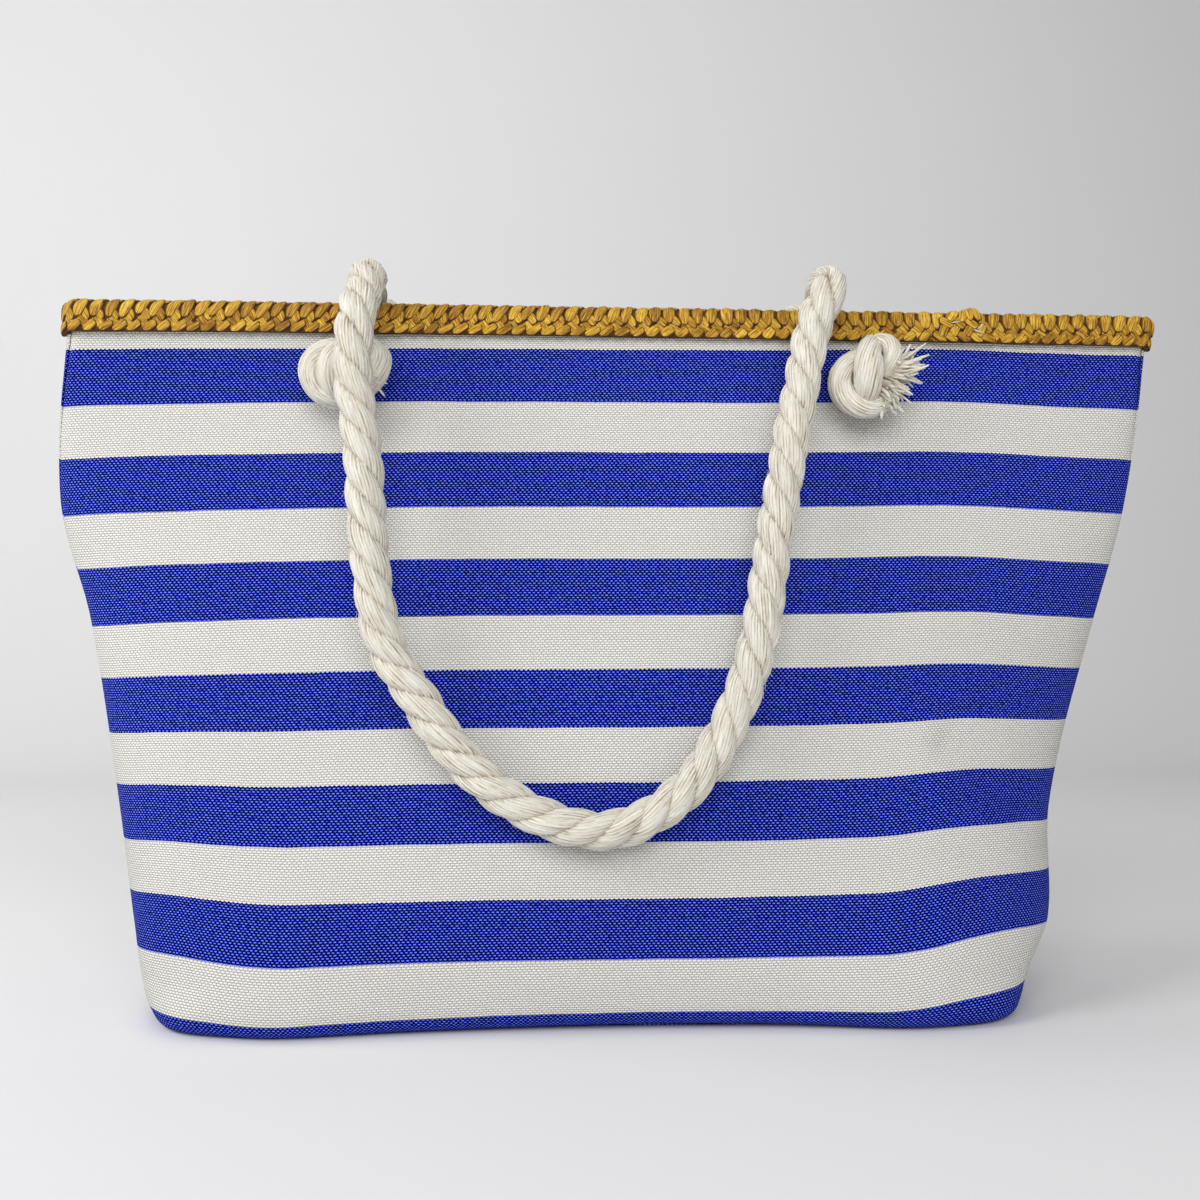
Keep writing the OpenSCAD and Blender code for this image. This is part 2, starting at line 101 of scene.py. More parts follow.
# The bag's middle lines, upwards: height, left end, right end, front, back,
# the side seams' place from front to back, and squareness (1 is a lens).
STATIONS = np.array([
    [0, 208, 176, -72, 72, 0, 4.4],
    [12, 219, 190, -76, 76, 0, 4.4],
    [45, 227, 203, -77, 77, -2, 4.0],
    [95, 236, 208, -72, 72, -6, 3.2],
    [185, 252, 234, -56, 60, -14, 2.3],
    [245, 266, 250, -44, 51, -19, 1.8],
    [RIM_H, RIM_HALF, RIM_HALF, -26, 38, -24, 1.1],
])


def station(k, z):
    """Column k of the stations at the heights z, as a smooth curve."""
    zs = STATIONS[:, 0]
    last = len(zs) - 1
    i = np.clip(np.searchsorted(zs, z, side="left") - 1, 0, last - 1)
    lo, hi = np.maximum(np.arange(last + 1) - 1, 0), np.minimum(np.arange(last + 1) + 1, last)
    slope = (STATIONS[hi, k] - STATIONS[lo, k]) / (zs[hi] - zs[lo])
    h = zs[i + 1] - zs[i]
    t = (z - zs[i]) / h
    a, b = STATIONS[i, k], STATIONS[i + 1, k]
    return (
        a * (1 + 2 * t) * (1 - t) ** 2
        + b * t * t * (3 - 2 * t)
        + slope[i] * h * t * (1 - t) ** 2
        - slope[i + 1] * h * t * t * (1 - t)
    )


def middle(side, turn, z):
    """The bag's middle line: turn goes from 0 at the left seam to 180 at the right one."""
    left, right, seam_y = -station(1, z), station(2, z), station(5, z)
    bulge = station(3 if side < 0 else 4, z) - seam_y
    q = station(6, z)
    p = 2 + (q - 1) * 0.8
    c = -np.cos(np.radians(turn))
    across = np.sign(c) * np.abs(c) ** (2 / p)
    s = np.maximum(np.sin(np.radians(turn)), 0)
    x = (left + right) / 2 + across * (right - left) / 2
    y = seam_y + side * SEAM_GAP + (bulge - side * SEAM_GAP) * s ** (2 / q)
    return x, y


def facing(side, turn, z):
    """Direction in which the middle line faces outwards, in radians."""
    ax, ay = middle(side, np.maximum(turn - 1, 0), z)
    bx, by = middle(side, np.minimum(turn + 1, 180), z)
    sign = 1 if side < 0 else -1
    return np.arctan2(-sign * (bx - ax), sign * (by - ay))


def wrap(a):
    """Angles between -pi and pi."""
    return (a + math.pi) % (2 * math.pi) - math.pi


def wall(u, z, off):
    """Points of the wall that stand off the middle line: u goes 0 to 1 along the front,
    to 2 round the right seam, to 3 along the back and to 4 round the left seam."""
    u, z, off = np.broadcast_arrays(np.asarray(u, float), np.asarray(z, float), np.asarray(off, float))
    v = u % 4
    k = np.floor(v)
    s = v - k
    turn = np.select([k == 0, k == 1, k == 2], [s * 180, 180 + 0 * s, 180 - s * 180], 0.0)
    f0, f1 = facing(-1, turn, z), facing(1, turn, z)
    fx, fy = middle(-1, turn, z)
    bx, by = middle(1, turn, z)
    back = np.select([k == 0, k == 1, k == 2], [0 * s, s, 1 + 0 * s], 1 - s)   # share of the back
    angle = f0 + wrap(f1 - f0) * back
    x, y = fx + (bx - fx) * back, fy + (by - fy) * back
    return np.stack([x + off * np.cos(angle), y + off * np.sin(angle), z + 0.0], -1)


def turn_in(z):
    """How far the wall is drawn in at height z, as it turns under to the base."""
    r = 6.0
    low = np.clip(r - z, 0, r)
    return r - np.sqrt(r * r - low * low)


def u_at(side, x, z):
    """The u of the wall on a side at x and z."""
    turns = np.linspace(0, 180, 1441)
    x, z = np.broadcast_arrays(np.asarray(x, float), np.asarray(z, float))
    turn = np.zeros(x.shape)
    for height in np.unique(z):
        xs, _ = middle(side, turns, np.full_like(turns, height))
        turn[z == height] = np.interp(x[z == height], xs, turns)
    return turn / 180 if side < 0 else 3 - turn / 180


def on_face(side, x, z, off):
    """The point of a side's wall at x and z, off the middle line."""
    return wall(u_at(side, x, z), z, off)


def outward(side, x, z):
    """The outward direction of a side's wall at x and z."""
    turn = (u_at(side, x, z) if side < 0 else 3 - u_at(side, x, z)) * 180
    a = float(facing(side, np.array(turn), np.array(z)))
    fall = on_face(side, x, z - 8, 0)[1] - on_face(side, x, z + 8, 0)[1]
    e = math.atan(side * fall / 16)
    return np.array([math.cos(a) * math.cos(e), math.sin(a) * math.cos(e), math.sin(e)])


EYELETS = {
    f"{face}_{end}": (EYELET_SHIFT + way * EYELET_GAP / 2, side)
    for face, side in (("front", -1), ("back", 1))
    for end, way in (("left", -1), ("right", 1))
}

# ---------------------------------------------------------------- meshes


class Sheaf:
    """Gathers grids of points, in mm, into one mesh with UVs in mm. Each point has a tone, which
    tells one leaf or yarn from another, and a painted shade, from 0 in a groove to 1 in the open."""

    def __init__(self):
        self.points, self.faces, self.uvs, self.tones, self.shades = [], [], [], [], []
        self.count = 0

    def grid(self, p, uv, tone=0.5, shade=1.0, closed=False, caps=False, keep=None):
        """Adds a grid of rows by columns. closed joins the last column to the first, and then
        uv has one column more. keep says, quad by quad, which faces there are."""
        rows, cols = p.shape[:2]
        index = self.count + np.arange(rows * cols).reshape(rows, cols)
        if closed:
            index = np.concatenate([index, index[:, :1]], 1)
        quads = np.stack([index[:-1, :-1], index[:-1, 1:], index[1:, 1:], index[1:, :-1]], -1)
        spots = np.stack([uv[:-1, :-1], uv[:-1, 1:], uv[1:, 1:], uv[1:, :-1]], -2)
        if keep is not None:
            quads, spots = quads[keep], spots[keep]
        self.faces += quads.reshape(-1, 4).tolist()
        self.uvs.append(spots.reshape(-1, 2))
        if caps:
            for row, order in ((0, -1), (rows - 1, 1)):
                self.faces.append(index[row, :cols][::order].tolist())
                self.uvs.append(uv[row, :cols][::order])
        self.points.append(p.reshape(-1, 3))
        self.tones.append(np.broadcast_to(np.asarray(tone, float), (rows, cols)).reshape(-1))
        self.shades.append(np.broadcast_to(np.asarray(shade, float), (rows, cols)).reshape(-1))
        self.count += rows * cols

    def face(self, points):
        """Closes a ring of the points that are already there with one face."""
        self.faces.append([int(i) for i in points])
        self.uvs.append(np.zeros((len(points), 2)))

    def build(self, name, material, body="bag"):
        """The finished object, riding on its body, or on none for a body of None."""
        mesh = bpy.data.meshes.new(name)
        mesh.from_pydata((np.concatenate(self.points) * MM).tolist(), [], self.faces)
        layer = mesh.uv_layers.new(name="cloth")
        layer.data.foreach_set("uv", (np.concatenate(self.uvs) / 10).astype(np.float32).ravel())
        for key, values in (("tone", self.tones), ("shade", self.shades)):
            layer = mesh.attributes.new(key, "FLOAT", "POINT")
            layer.data.foreach_set("value", np.concatenate(values).astype(np.float32))
        mesh.shade_smooth()
        mesh.materials.append(material)
        obj = bpy.data.objects.new(name, mesh)
        bpy.context.scene.collection.objects.link(obj)
        if body:
            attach(obj, body)
        return obj


def uv_grid(us, vs):
    """UVs for a grid, from one value for each column and one for each row."""
    u, v = np.meshgrid(us, vs)
    return np.stack([u, v], -1)


def unit(v):
    return v / np.linalg.norm(v, axis=-1, keepdims=True)


def smooth_path(points, step):
    """A smooth curve through the points, with even steps, by centripetal Catmull-Rom."""
    p = np.asarray(points, float)
    p = np.vstack([2 * p[0] - p[1], p, 2 * p[-1] - p[-2]])
    out = []
    for row in zip(p[:-3], p[1:-2], p[2:-1], p[3:]):
        gaps = [max(np.linalg.norm((b - a)[:3]), 1e-6) ** 0.5 for a, b in zip(row[:-1], row[1:])]
        k = np.cumsum([0] + gaps)
        t = np.linspace(k[1], k[2], 24, endpoint=False)[:, None]
        for lows, highs in ((k[:3], k[1:]), (k[:2], k[2:]), (k[1:2], k[2:3])):
            row = [(high - t) / (high - low) * a + (t - low) / (high - low) * b
                   for a, b, low, high in zip(row[:-1], row[1:], lows, highs)]
        out.append(row[0])
    dense = np.vstack(out + [p[-2:-1]])
    s = np.concatenate([[0], np.cumsum(np.linalg.norm(np.diff(dense[:, :3], axis=0), axis=1))])
    at = np.linspace(0, s[-1], max(int(s[-1] / step) + 1, 4))
    return np.stack([np.interp(at, s, dense[:, k]) for k in range(dense.shape[1])], -1)


def frames(path):
    """Directions along a path and two side directions, carried on without twisting."""
    t = unit(np.gradient(path, axis=0))
    side = np.cross(t[0], [0, 0, 1.0])
    if np.linalg.norm(side) < 0.1:
        side = np.cross(t[0], [0, 1.0, 0])
    first = [side / np.linalg.norm(side)]
    for i in range(1, len(t)):
        s = first[-1] - np.dot(first[-1], t[i]) * t[i]
        first.append(s / np.linalg.norm(s))
    first = np.array(first)
    return t, first, np.cross(t, first)


def arc_length(path):
    return np.concatenate([[0], np.cumsum(np.linalg.norm(np.diff(path, axis=0), axis=1))])


# ---------------------------------------------------------------- materials


class Nodes:
    """A new material, with short ways to add nodes to it."""

    def __init__(self, name, **sockets):
        self.material = bpy.data.materials.new(name)
        self.material.use_nodes = True
        self.tree = self.material.node_tree
        self.shader = self.tree.nodes["Principled BSDF"]
        for key, value in sockets.items():
            self.shader.inputs[key.replace("_", " ")].default_value = value

    def link(self, value, socket):
        if isinstance(value, bpy.types.NodeSocket):
            self.tree.links.new(value, socket)
        else:
            socket.default_value = value

    def add(self, kind, inputs, output=0, **settings):
        node = self.tree.nodes.new(kind)
        for key, value in settings.items():
            setattr(node, key, value)
        for key, value in inputs.items():
            self.link(value, node.inputs[key])
        return node.outputs[output]

    def math(self, operation, *values, clamp=False):
        return self.add("ShaderNodeMath", dict(enumerate(values)), operation=operation, use_clamp=clamp)

    def times(self, a, b):
        return self.math("MULTIPLY", a, b)

    def plus(self, a, b):
        return self.math("ADD", a, b)

    def minus(self, a, b):
        return self.math("SUBTRACT", a, b)

    def level(self, base, value, gain):
        """A value made gain times as strong, on top of a base."""
        return self.plus(base, self.times(value, gain))

    def cloth(self):
        """The piece's own UVs, as two values in mm."""
        uv = self.add("ShaderNodeUVMap", {}, uv_map="cloth")
        parts = self.tree.nodes.new("ShaderNodeSeparateXYZ")
        self.tree.links.new(uv, parts.inputs[0])
        return tuple(self.times(parts.outputs[k], 10.0) for k in (0, 1))

    def vector(self, x, y, z=0.0):
        return self.add("ShaderNodeCombineXYZ", {0: x, 1: y, 2: z})

    def place(self):
        """The point on the object at rest, in metres."""
        return self.add("ShaderNodeTexCoord", {}, output=3)

    def mark(self, name):
        """The tone or shade of the mesh."""
        return self.add("ShaderNodeAttribute", {}, output=2, attribute_name=name)

    def noise(self, at, scale, detail=3.0, rough=0.55):
        inputs = {"Vector": at, "Scale": scale, "Detail": detail, "Roughness": rough}
        return self.add("ShaderNodeTexNoise", inputs)

    def ramp(self, value, *stops):
        """A colour or grey ramp: each stop is a place and a colour."""
        node = self.tree.nodes.new("ShaderNodeValToRGB")
        while len(node.color_ramp.elements) < len(stops):
            node.color_ramp.elements.new(1.0)
        for element, (place, colour) in zip(node.color_ramp.elements, stops):
            element.position = place
            element.color = (*colour, 1.0)
        self.link(value, node.inputs[0])
        return node.outputs[0]

    def mix(self, share, a, b, blend="MIX"):
        node = self.tree.nodes.new("ShaderNodeMix")
        node.data_type = "RGBA"
        node.blend_type = blend
        for name, value in (("Factor", share), ("A", a), ("B", b)):
            kind = "VALUE" if name == "Factor" else "RGBA"
            socket = [i for i in node.inputs if i.name == name and i.type == kind][0]
            if name != "Factor" and not isinstance(value, bpy.types.NodeSocket):
                value = (*value, 1.0)
            self.link(value, socket)
        return [o for o in node.outputs if o.type == "RGBA"][0]

    def dimmed(self, colour, share):
        """A colour made darker by a share of its light."""
        return self.mix(1.0, colour, self.vector(share, share, share), "MULTIPLY")

    def finish(self, colour=None, roughness=None, height=None, depth=0.5):
        """Links colour, roughness and bump (depth in mm) to the shader, and gives the material."""
        if colour is not None:
            self.link(colour, self.shader.inputs["Base Color"])
        if roughness is not None:
            self.link(roughness, self.shader.inputs["Roughness"])
        if height is not None:
            inputs = {"Height": height, "Distance": depth * MM, "Strength": 1.0}
            self.link(self.add("ShaderNodeBump", inputs), self.shader.inputs["Normal"])
        return self.material


GRAIN_W = 2.06          # one float of the canvas, along the row
GRAIN_H = 1.14          # from one row of floats to the next
STRIPE = 52.7           # from one blue stripe to the next
BLUE = 27.3             # width of a blue stripe


def weave(n, u, v, width=GRAIN_W, height=GRAIN_H):
    """Plain weave: the height of each float, and where along it the point is, from -1 to 1."""
    row = n.math("FLOOR", n.math("DIVIDE", v, height))
    shifted = n.plus(n.math("DIVIDE", u, width), n.times(row, 0.5))
    along = n.minus(n.times(n.math("FRACT", shifted), 2.0), 1.0)
    down = n.math("FRACT", n.math("DIVIDE", v, height))
    across = n.minus(n.times(down, 2.0), 1.0)
    hill_u = n.minus(1.0, n.math("POWER", n.math("ABSOLUTE", along), 2.4))
    hill_v = n.minus(1.0, n.math("POWER", n.math("ABSOLUTE", across), 2.0))
    return n.times(hill_u, hill_v), along


def canvas_material(name="striped_canvas", striped=True):
    n = Nodes(name, Specular_IOR_Level=0.03)
    u, v = n.cloth()
    wobble = n.noise(n.place(), 38.0, 2.0)
    v = n.plus(v, n.times(n.minus(wobble, 0.5), 0.8))
    hump, along = weave(n, u, v)
    slub = n.noise(n.vector(n.times(u, 0.5), n.times(v, 0.9)), 1.0, 2.0)
    height = n.times(hump, n.plus(0.5, slub))
    # Painted shade: the white canvas is darkened in the gaps between its floats, where they dip low.
    white_with_painted_shade = n.ramp(
        height,
        (0.0, (0.36, 0.345, 0.30)),
        (0.35, (0.66, 0.645, 0.60)),
        (0.9, (0.86, 0.85, 0.82)),
    )
    colour = white_with_painted_shade
    if striped:
        tooth = n.times(n.minus(n.math("ABSOLUTE", along), 0.5), 0.45 * GRAIN_H)
        band = n.math("FRACT", n.math("DIVIDE", n.plus(v, tooth), STRIPE))
        is_blue = n.math("LESS_THAN", band, BLUE / STRIPE)
        # Painted shade in the gaps between the blue floats, and a painted highlight on their crests.
        blue = n.ramp(
            height,
            (0.0, (0.0001, 0.0002, 0.012)),
            (0.42, (0.0004, 0.002, 0.15)),
            (0.68, (0.004, 0.016, 0.48)),
            (0.92, (0.17, 0.26, 1.0)),
        )
        colour = n.mix(is_blue, white_with_painted_shade, blue)
    cloudy = n.level(0.93, n.noise(n.place(), 14.0, 3.0), 0.12)
    colour = n.dimmed(colour, cloudy)
    return n.finish(colour, n.minus(0.85, n.times(hump, 0.2)), height, 0.4)


def lining_material():
    n = Nodes("lining_cloth", Specular_IOR_Level=0.2, Sheen_Weight=0.1)
    u, v = n.cloth()
    hill, _ = weave(n, u, v, 0.9, 0.55)
    soft = n.noise(n.place(), 26.0, 3.0)
    # Painted shade: the lining is darkened in the gaps between its threads.
    colour = n.ramp(hill, (0.0, (0.52, 0.49, 0.43)), (1.0, (0.74, 0.715, 0.65)))
    cloudy = n.level(0.88, soft, 0.2)
    colour = n.dimmed(colour, cloudy)
    return n.finish(colour, n.level(0.8, soft, 0.12), hill, 0.1)


def raffia_material():
    """Raffia leaf: u runs across it and v along it."""
    n = Nodes("raffia", Specular_IOR_Level=0.25, Coat_Weight=0.04, Coat_Roughness=0.35)
    u, v = n.cloth()
    tone = n.mark("tone")
    seed = n.times(tone, 37.0)
    streak = n.noise(n.vector(n.times(u, 2.4), n.times(v, 0.13), seed), 1.0, 5.0, 0.7)
    patch = n.noise(n.vector(u, v, seed), 0.35, 2.0)
    sharp = n.times(n.minus(streak, 0.5), 2.6)
    level = n.plus(n.plus(0.4, sharp), n.times(tone, 0.3))
    colour = n.ramp(
        level,
        (0.08, (0.07, 0.022, 0.002)),
        (0.36, (0.27, 0.11, 0.006)),
        (0.6, (0.56, 0.30, 0.015)),
        (0.9, (0.86, 0.57, 0.07)),
    )
    aged = n.level(0.7, patch, 0.55)
    colour = n.dimmed(colour, aged)
    # Painted shade: the leaves are darkened towards their edges, where they meet and tuck under their
    # neighbours.
    rim = n.ramp(
        n.mark("shade"),
        (0.2, (0.04, 0.016, 0.004)),
        (0.55, (0.5, 0.38, 0.22)),
        (0.8, (1.0, 1.0, 1.0)),
    )
    colour = n.mix(1.0, colour, rim, "MULTIPLY")
    return n.finish(colour, n.level(0.3, streak, 0.35), streak, 0.6)


def core_material_painted_shade():
    n = Nodes("raffia_core_painted_shade", Specular_IOR_Level=0.2)
    grain = n.noise(n.place(), 420.0, 4.0, 0.7)
    # Painted shade: the core is raffia, coloured far darker than the leaves so that the gaps between
    # them look shaded.
    colour = n.ramp(grain, (0.3, (0.03, 0.012, 0.003)), (0.7, (0.16, 0.07, 0.014)))
    return n.finish(colour, n.level(0.75, grain, 0.2), grain, 0.4)


def rope_material():
    """Cotton rope: u runs across the yarns and v along them."""
    n = Nodes("cotton_rope", Specular_IOR_Level=0.15, Sheen_Weight=0.2, Sheen_Roughness=0.6)
    u, v = n.cloth()
    fibre = n.noise(n.vector(n.times(u, 2.6), n.times(v, 0.22)), 1.0, 5.0, 0.75)
    ply = n.noise(n.vector(n.times(u, 0.9), n.times(v, 0.07)), 1.0, 2.0)
    height = n.plus(n.times(fibre, 0.8), n.times(ply, 0.5))
    streaks = n.times(n.minus(height, 0.65), 2.1)
    # The shade mark darkens the grooves between yarns and strands as painted shade; the streaks are the
    # fibres' own tone.
    level = n.plus(n.times(n.mark("shade"), 0.8), streaks)
    colour = n.ramp(
        level,
        (0.06, (0.20, 0.135, 0.07)),
        (0.32, (0.46, 0.385, 0.27)),
        (0.6, (0.70, 0.655, 0.55)),
        (0.95, (0.87, 0.85, 0.78)),
    )
    tint = n.level(0.92, n.mark("tone"), 0.1)
    colour = n.dimmed(colour, tint)
    return n.finish(colour, n.level(0.75, fibre, 0.2), height, 0.6)


def thread_material():
    n = Nodes("stitching_thread", Specular_IOR_Level=0.3)
    u, v = n.cloth()
    ply = n.math("SINE", n.times(n.plus(u, v), 7.0))
    level = n.level(0.5, ply, 0.5)
    # Painted shade: the thread is darker in the grooves of its twist.
    colour = n.ramp(level, (0.0, (0.5, 0.48, 0.43)), (1.0, (0.8, 0.78, 0.72)))
    return n.finish(colour, n.level(0.6, level, 0.2), level, 0.1)


def brass_material():
    n = Nodes("brass", Metallic=1.0)
    wear = n.noise(n.place(), 260.0, 4.0, 0.6)
    scratch = n.noise(n.place(), 1400.0, 2.0)
    colour = n.ramp(wear, (0.3, (0.52, 0.36, 0.14)), (0.7, (0.80, 0.62, 0.32)))
    return n.finish(colour, n.level(0.2, wear, 0.25), scratch, 0.05)


def tape_material():
    n = Nodes("zip_tape_cloth", Specular_IOR_Level=0.2)
    ribs = n.add("ShaderNodeTexWave", {"Vector": n.place(), "Scale": 420.0, "Distortion": 0.6}, output=1)
    # Painted shade: the ribs are darker where they dip.
    colour = n.ramp(ribs, (0.0, (0.48, 0.45, 0.38)), (1.0, (0.72, 0.69, 0.61)))
    return n.finish(colour, n.level(0.75, ribs, 0.15), ribs, 0.15)


def board_material():
    n = Nodes("grey_board", Specular_IOR_Level=0.2)
    pulp = n.noise(n.place(), 300.0, 5.0, 0.7)
    colour = n.ramp(pulp, (0.3, (0.22, 0.17, 0.11)), (0.7, (0.38, 0.31, 0.22)))
    return n.finish(colour, n.level(0.8, pulp, 0.15), pulp, 0.1)


CANVAS = canvas_material()
CANVAS_PLAIN = canvas_material("plain_canvas", striped=False)
LINING = lining_material()
RAFFIA = raffia_material()
CORE_PAINTED_SHADE = core_material_painted_shade()
ROPE = rope_material()
THREAD = thread_material()
BRASS = brass_material()
TAPE = tape_material()
BOARD = board_material()

# ---------------------------------------------------------------- camera

CAMERA_AT = (-0.0526, -0.662, 0.176)
CAMERA_UP = 1.77        # degrees
CAMERA_RIGHT = 3.7      # degrees
CAMERA_LENS = 38.8


def add_camera():
    data = bpy.data.cameras.new("camera")
    data.lens = CAMERA_LENS
    data.clip_start = 0.01
    camera = bpy.data.objects.new("camera", data)
    camera.location = CAMERA_AT
    camera.rotation_euler = Euler((math.radians(90 + CAMERA_UP), 0, math.radians(-CAMERA_RIGHT)))
    bpy.context.scene.collection.objects.link(camera)
    bpy.context.scene.camera = camera


add_camera()

# ---------------------------------------------------------------- ropes

STRANDS = 3
STRAND_R = 4.75         # radius of one strand
STRAND_OUT = 4.45       # from the rope's middle to a strand's middle
STRAND_FLAT = (0.95, 1.1)   # height and width of a strand, in its radius
LAY = 46.0              # length of one full turn of the strands
ROPE_STEP = 2.2
YARNS = 20              # yarns round one strand
YARN_TWIST = 0.17       # how they turn round it, in radians for each mm
YARN_SHAPE = np.array([0.0, 0.78, 1.0, 0.78])   # height across a yarn, from its groove
YARN_DEPTH = 0.26       # of the grooves between yarns, in mm

# The way of a rope from its eyelet, up inside the bag and over the braid:
# share of its drift sideways, distance out from the canvas, height above the eyelet
OVER_RIM = [
    [0.2, -19.5, 3], [0.4, -25, 16], [0.6, -25, 30], [0.8, -20, 43],
    [0.95, -8.5, 48.8], [1, 3, 48], [1, 10, 45],
]
OVER_DRIFT = {"left": 9, "right": -14}
INNER_POINTS = 6        # how many points of a rope end stay with the bag
BLEND = (-18, 9)        # two distances out from its eyelets, for where the loop starts and ends

# The front handle as it hangs, from its left end over the braid to its right
FRONT_LOOP = [
    [-124, -58, 338], [-125, -69.5, 328], [-126, -77.5, 313], [-126, -79, 292],
    [-122, -79, 265], [-118, -82, 214], [-111, -85, 176], [-97, -87, 152],
    [-71, -90, 118], [-38, -92, 97], [-8, -92, 93], [22, -90, 109],
    [43, -85, 139], [56, -81, 172], [66, -74, 224], [77, -64, 275],
    [83, -58, 300], [86, -55, 314], [91, -52, 330],
]
BACK_OUT = 6            # the back handle hangs a little further out


def rope_end_path(place):
    """The points of a rope end, from its knot up and over the braid."""
    x, side = EYELETS[place]
    c = on_face(side, x, EYELET_Z, SEAM_R)
    n = outward(side, x, EYELET_Z)
    drift = OVER_DRIFT[place.split("_")[1]]
    over = [[x + p[0] * drift, c[1] + side * p[1], EYELET_Z + p[2]] for p in OVER_RIM]
    return [c + n * KNOT_OUT, c, c - n * 9] + [np.array(p) for p in over]


def knot_frame(place):
    """Origin and directions of an eyelet: along to +X, out of the bag, and up."""
    x, side = EYELETS[place]
    out = outward(side, x, EYELET_Z)
    along = unit(np.cross(out, [0, 0, 1.0])) * side
    up = np.cross(along, out) * side
    return on_face(side, x, EYELET_Z, SEAM_R), along, out, up


# The turns of rope in a knot. Their points are along, out and up from the eyelet, and the radius.
NECK = [[0, 1, 0, 8.4], [0, 6, 0, 8.0], [1, 10, 1, 6.5], [3, 13, 3, 5.5]]
KNOT_RIGHT = {
    "neck": NECK,
    "ring": [
        [3, 12, 9, 4.6], [-4, 13.5, 6.5, 5.0], [-9.3, 15, 1.5, 5.4], [-11.5, 15, -5, 5.8],
        [-10, 15.3, -11.8, 5.8], [-5.5, 15.8, -16.7, 5.6], [0.6, 16, -18.6, 5.0],
        [6.8, 15.5, -16.5, 4.6], [11, 14, -10.5, 4.4], [12, 12, -3, 4.3],
    ],
    "drop": [
        [7, 9, 17, 4.0], [5, 14, 15, 4.6], [2.5, 19, 10, 5.6], [0.7, 22, 3, 6.7],
        [0.2, 22.6, -3.5, 7.1], [0.3, 20.5, -8.8, 6.6], [0.6, 16, -11.5, 5.4], [0.6, 9, -11, 5],
    ],
    "loop": [
        [5, 9, 14, 4.2], [8.2, 14.5, 15, 4.6], [12.3, 18.5, 12.6, 4.8], [13.4, 20.3, 7, 4.6],
        [11.4, 20.5, 1.5, 4.0], [9.2, 18, -3.2, 3.3],
    ],
    "end": [
        [10, 7, 9, 4.2], [15, 9, 9, 4.0], [17, 10, 4, 4.2], [14.5, 12, -3, 4.8], [11, 14.5, -8, 5],
    ],
}
KNOT_LEFT = {
    "neck": NECK,
    "ring": [
        [1, 12, 9, 4.6], [-5, 14, 9.3, 4.8], [-11, 15, 6.8, 5.0], [-15.3, 15, 1.2, 5.1],
        [-15.6, 15, -5, 5.1], [-12.5, 15, -11, 5.0], [-7, 15, -15.3, 4.9], [0, 14, -16, 4.6],
        [6, 12, -13, 4.4],
    ],
    "drop": [
        [4, 10, 9.5, 5], [-1, 16.5, 7, 5.6], [-4.5, 20.3, 0.5, 6.4], [-4.8, 21.3, -6, 6.7],
        [-2.8, 18.5, -11.5, 6.2], [0, 13, -14, 5], [2, 8, -11, 4.5],
    ],
    "loop": [
        [3, 9, 9, 4.5], [10, 12, 9.5, 5.4], [15.8, 13.5, 5, 5.7], [16, 14, -1.5, 5.6],
        [12.3, 13, -8, 5.0], [5, 11, -12.5, 4.4],
    ],
}

# A frayed end: how many yarns, where its first and last ones start (along, out, up), which way
# they go, and how long they are
FRAY_RIGHT = (230, [[13, 19, 3], [8, 17, -13]], [[1, 0.05, 0.4], [0.3, 0.05, -1]], [14, 8])
FRAY_LEFT = (36, [[13, 15, -6], [11, 14, -10]], [[1, 0.1, -0.2], [0.6, 0, -1]], [6, 5])


def yarn_tube(sheaf, path, radius, out, cross, yarns, twist, rng, flat=(1.0, 1.0), shade=None):
    """A bundle of yarns along a path. Its columns of points follow the yarns."""
    s = arc_length(path)[:, None]
    across = len(YARN_SHAPE)
    shape = np.tile(YARN_SHAPE, yarns)[None]
    own = np.repeat(np.arange(yarns), across)[None]
    turn, rise, swell = rng.uniform(0, 2 * math.pi, (3, yarns))
    phi = 2 * math.pi * np.arange(yarns * across)[None] / (yarns * across) + twist * s
    phi = phi + 0.8 / yarns * np.sin(s / 10 + turn[own])
    lift = 0.25 * np.sin(s / 7 + rise[own]) + 0.14 * np.sin(s / 3.3 + swell[own])
    size = radius[:, None] - YARN_DEPTH * (1 - shape) + lift * shape
    rings = (
        path[:, None]
        + (np.cos(phi) * size * flat[0])[..., None] * out[:, None]
        + (np.sin(phi) * size * flat[1])[..., None] * cross[:, None]
    )
    # Painted shade in the grooves between yarns, deeper in some stretches than in others.
    groove_shade_depth = 0.42 + 0.36 * np.sin(s / 9 + swell[own]) * np.sin(s / 4 + turn[own])
    groove = 1 - groove_shade_depth * (1 - shape)
    if shade is not None:
        groove = groove * shade(rings)
    tone = rng.uniform(0, 1, yarns)[own] + 0 * phi
    pitch = 2 * math.pi * STRAND_R / YARNS / across
    uv = uv_grid(np.arange(yarns * across + 1) * pitch + rng.uniform(0, 90), s[:, 0])
    sheaf.grid(rings, uv, tone, groove, closed=True, caps=True)


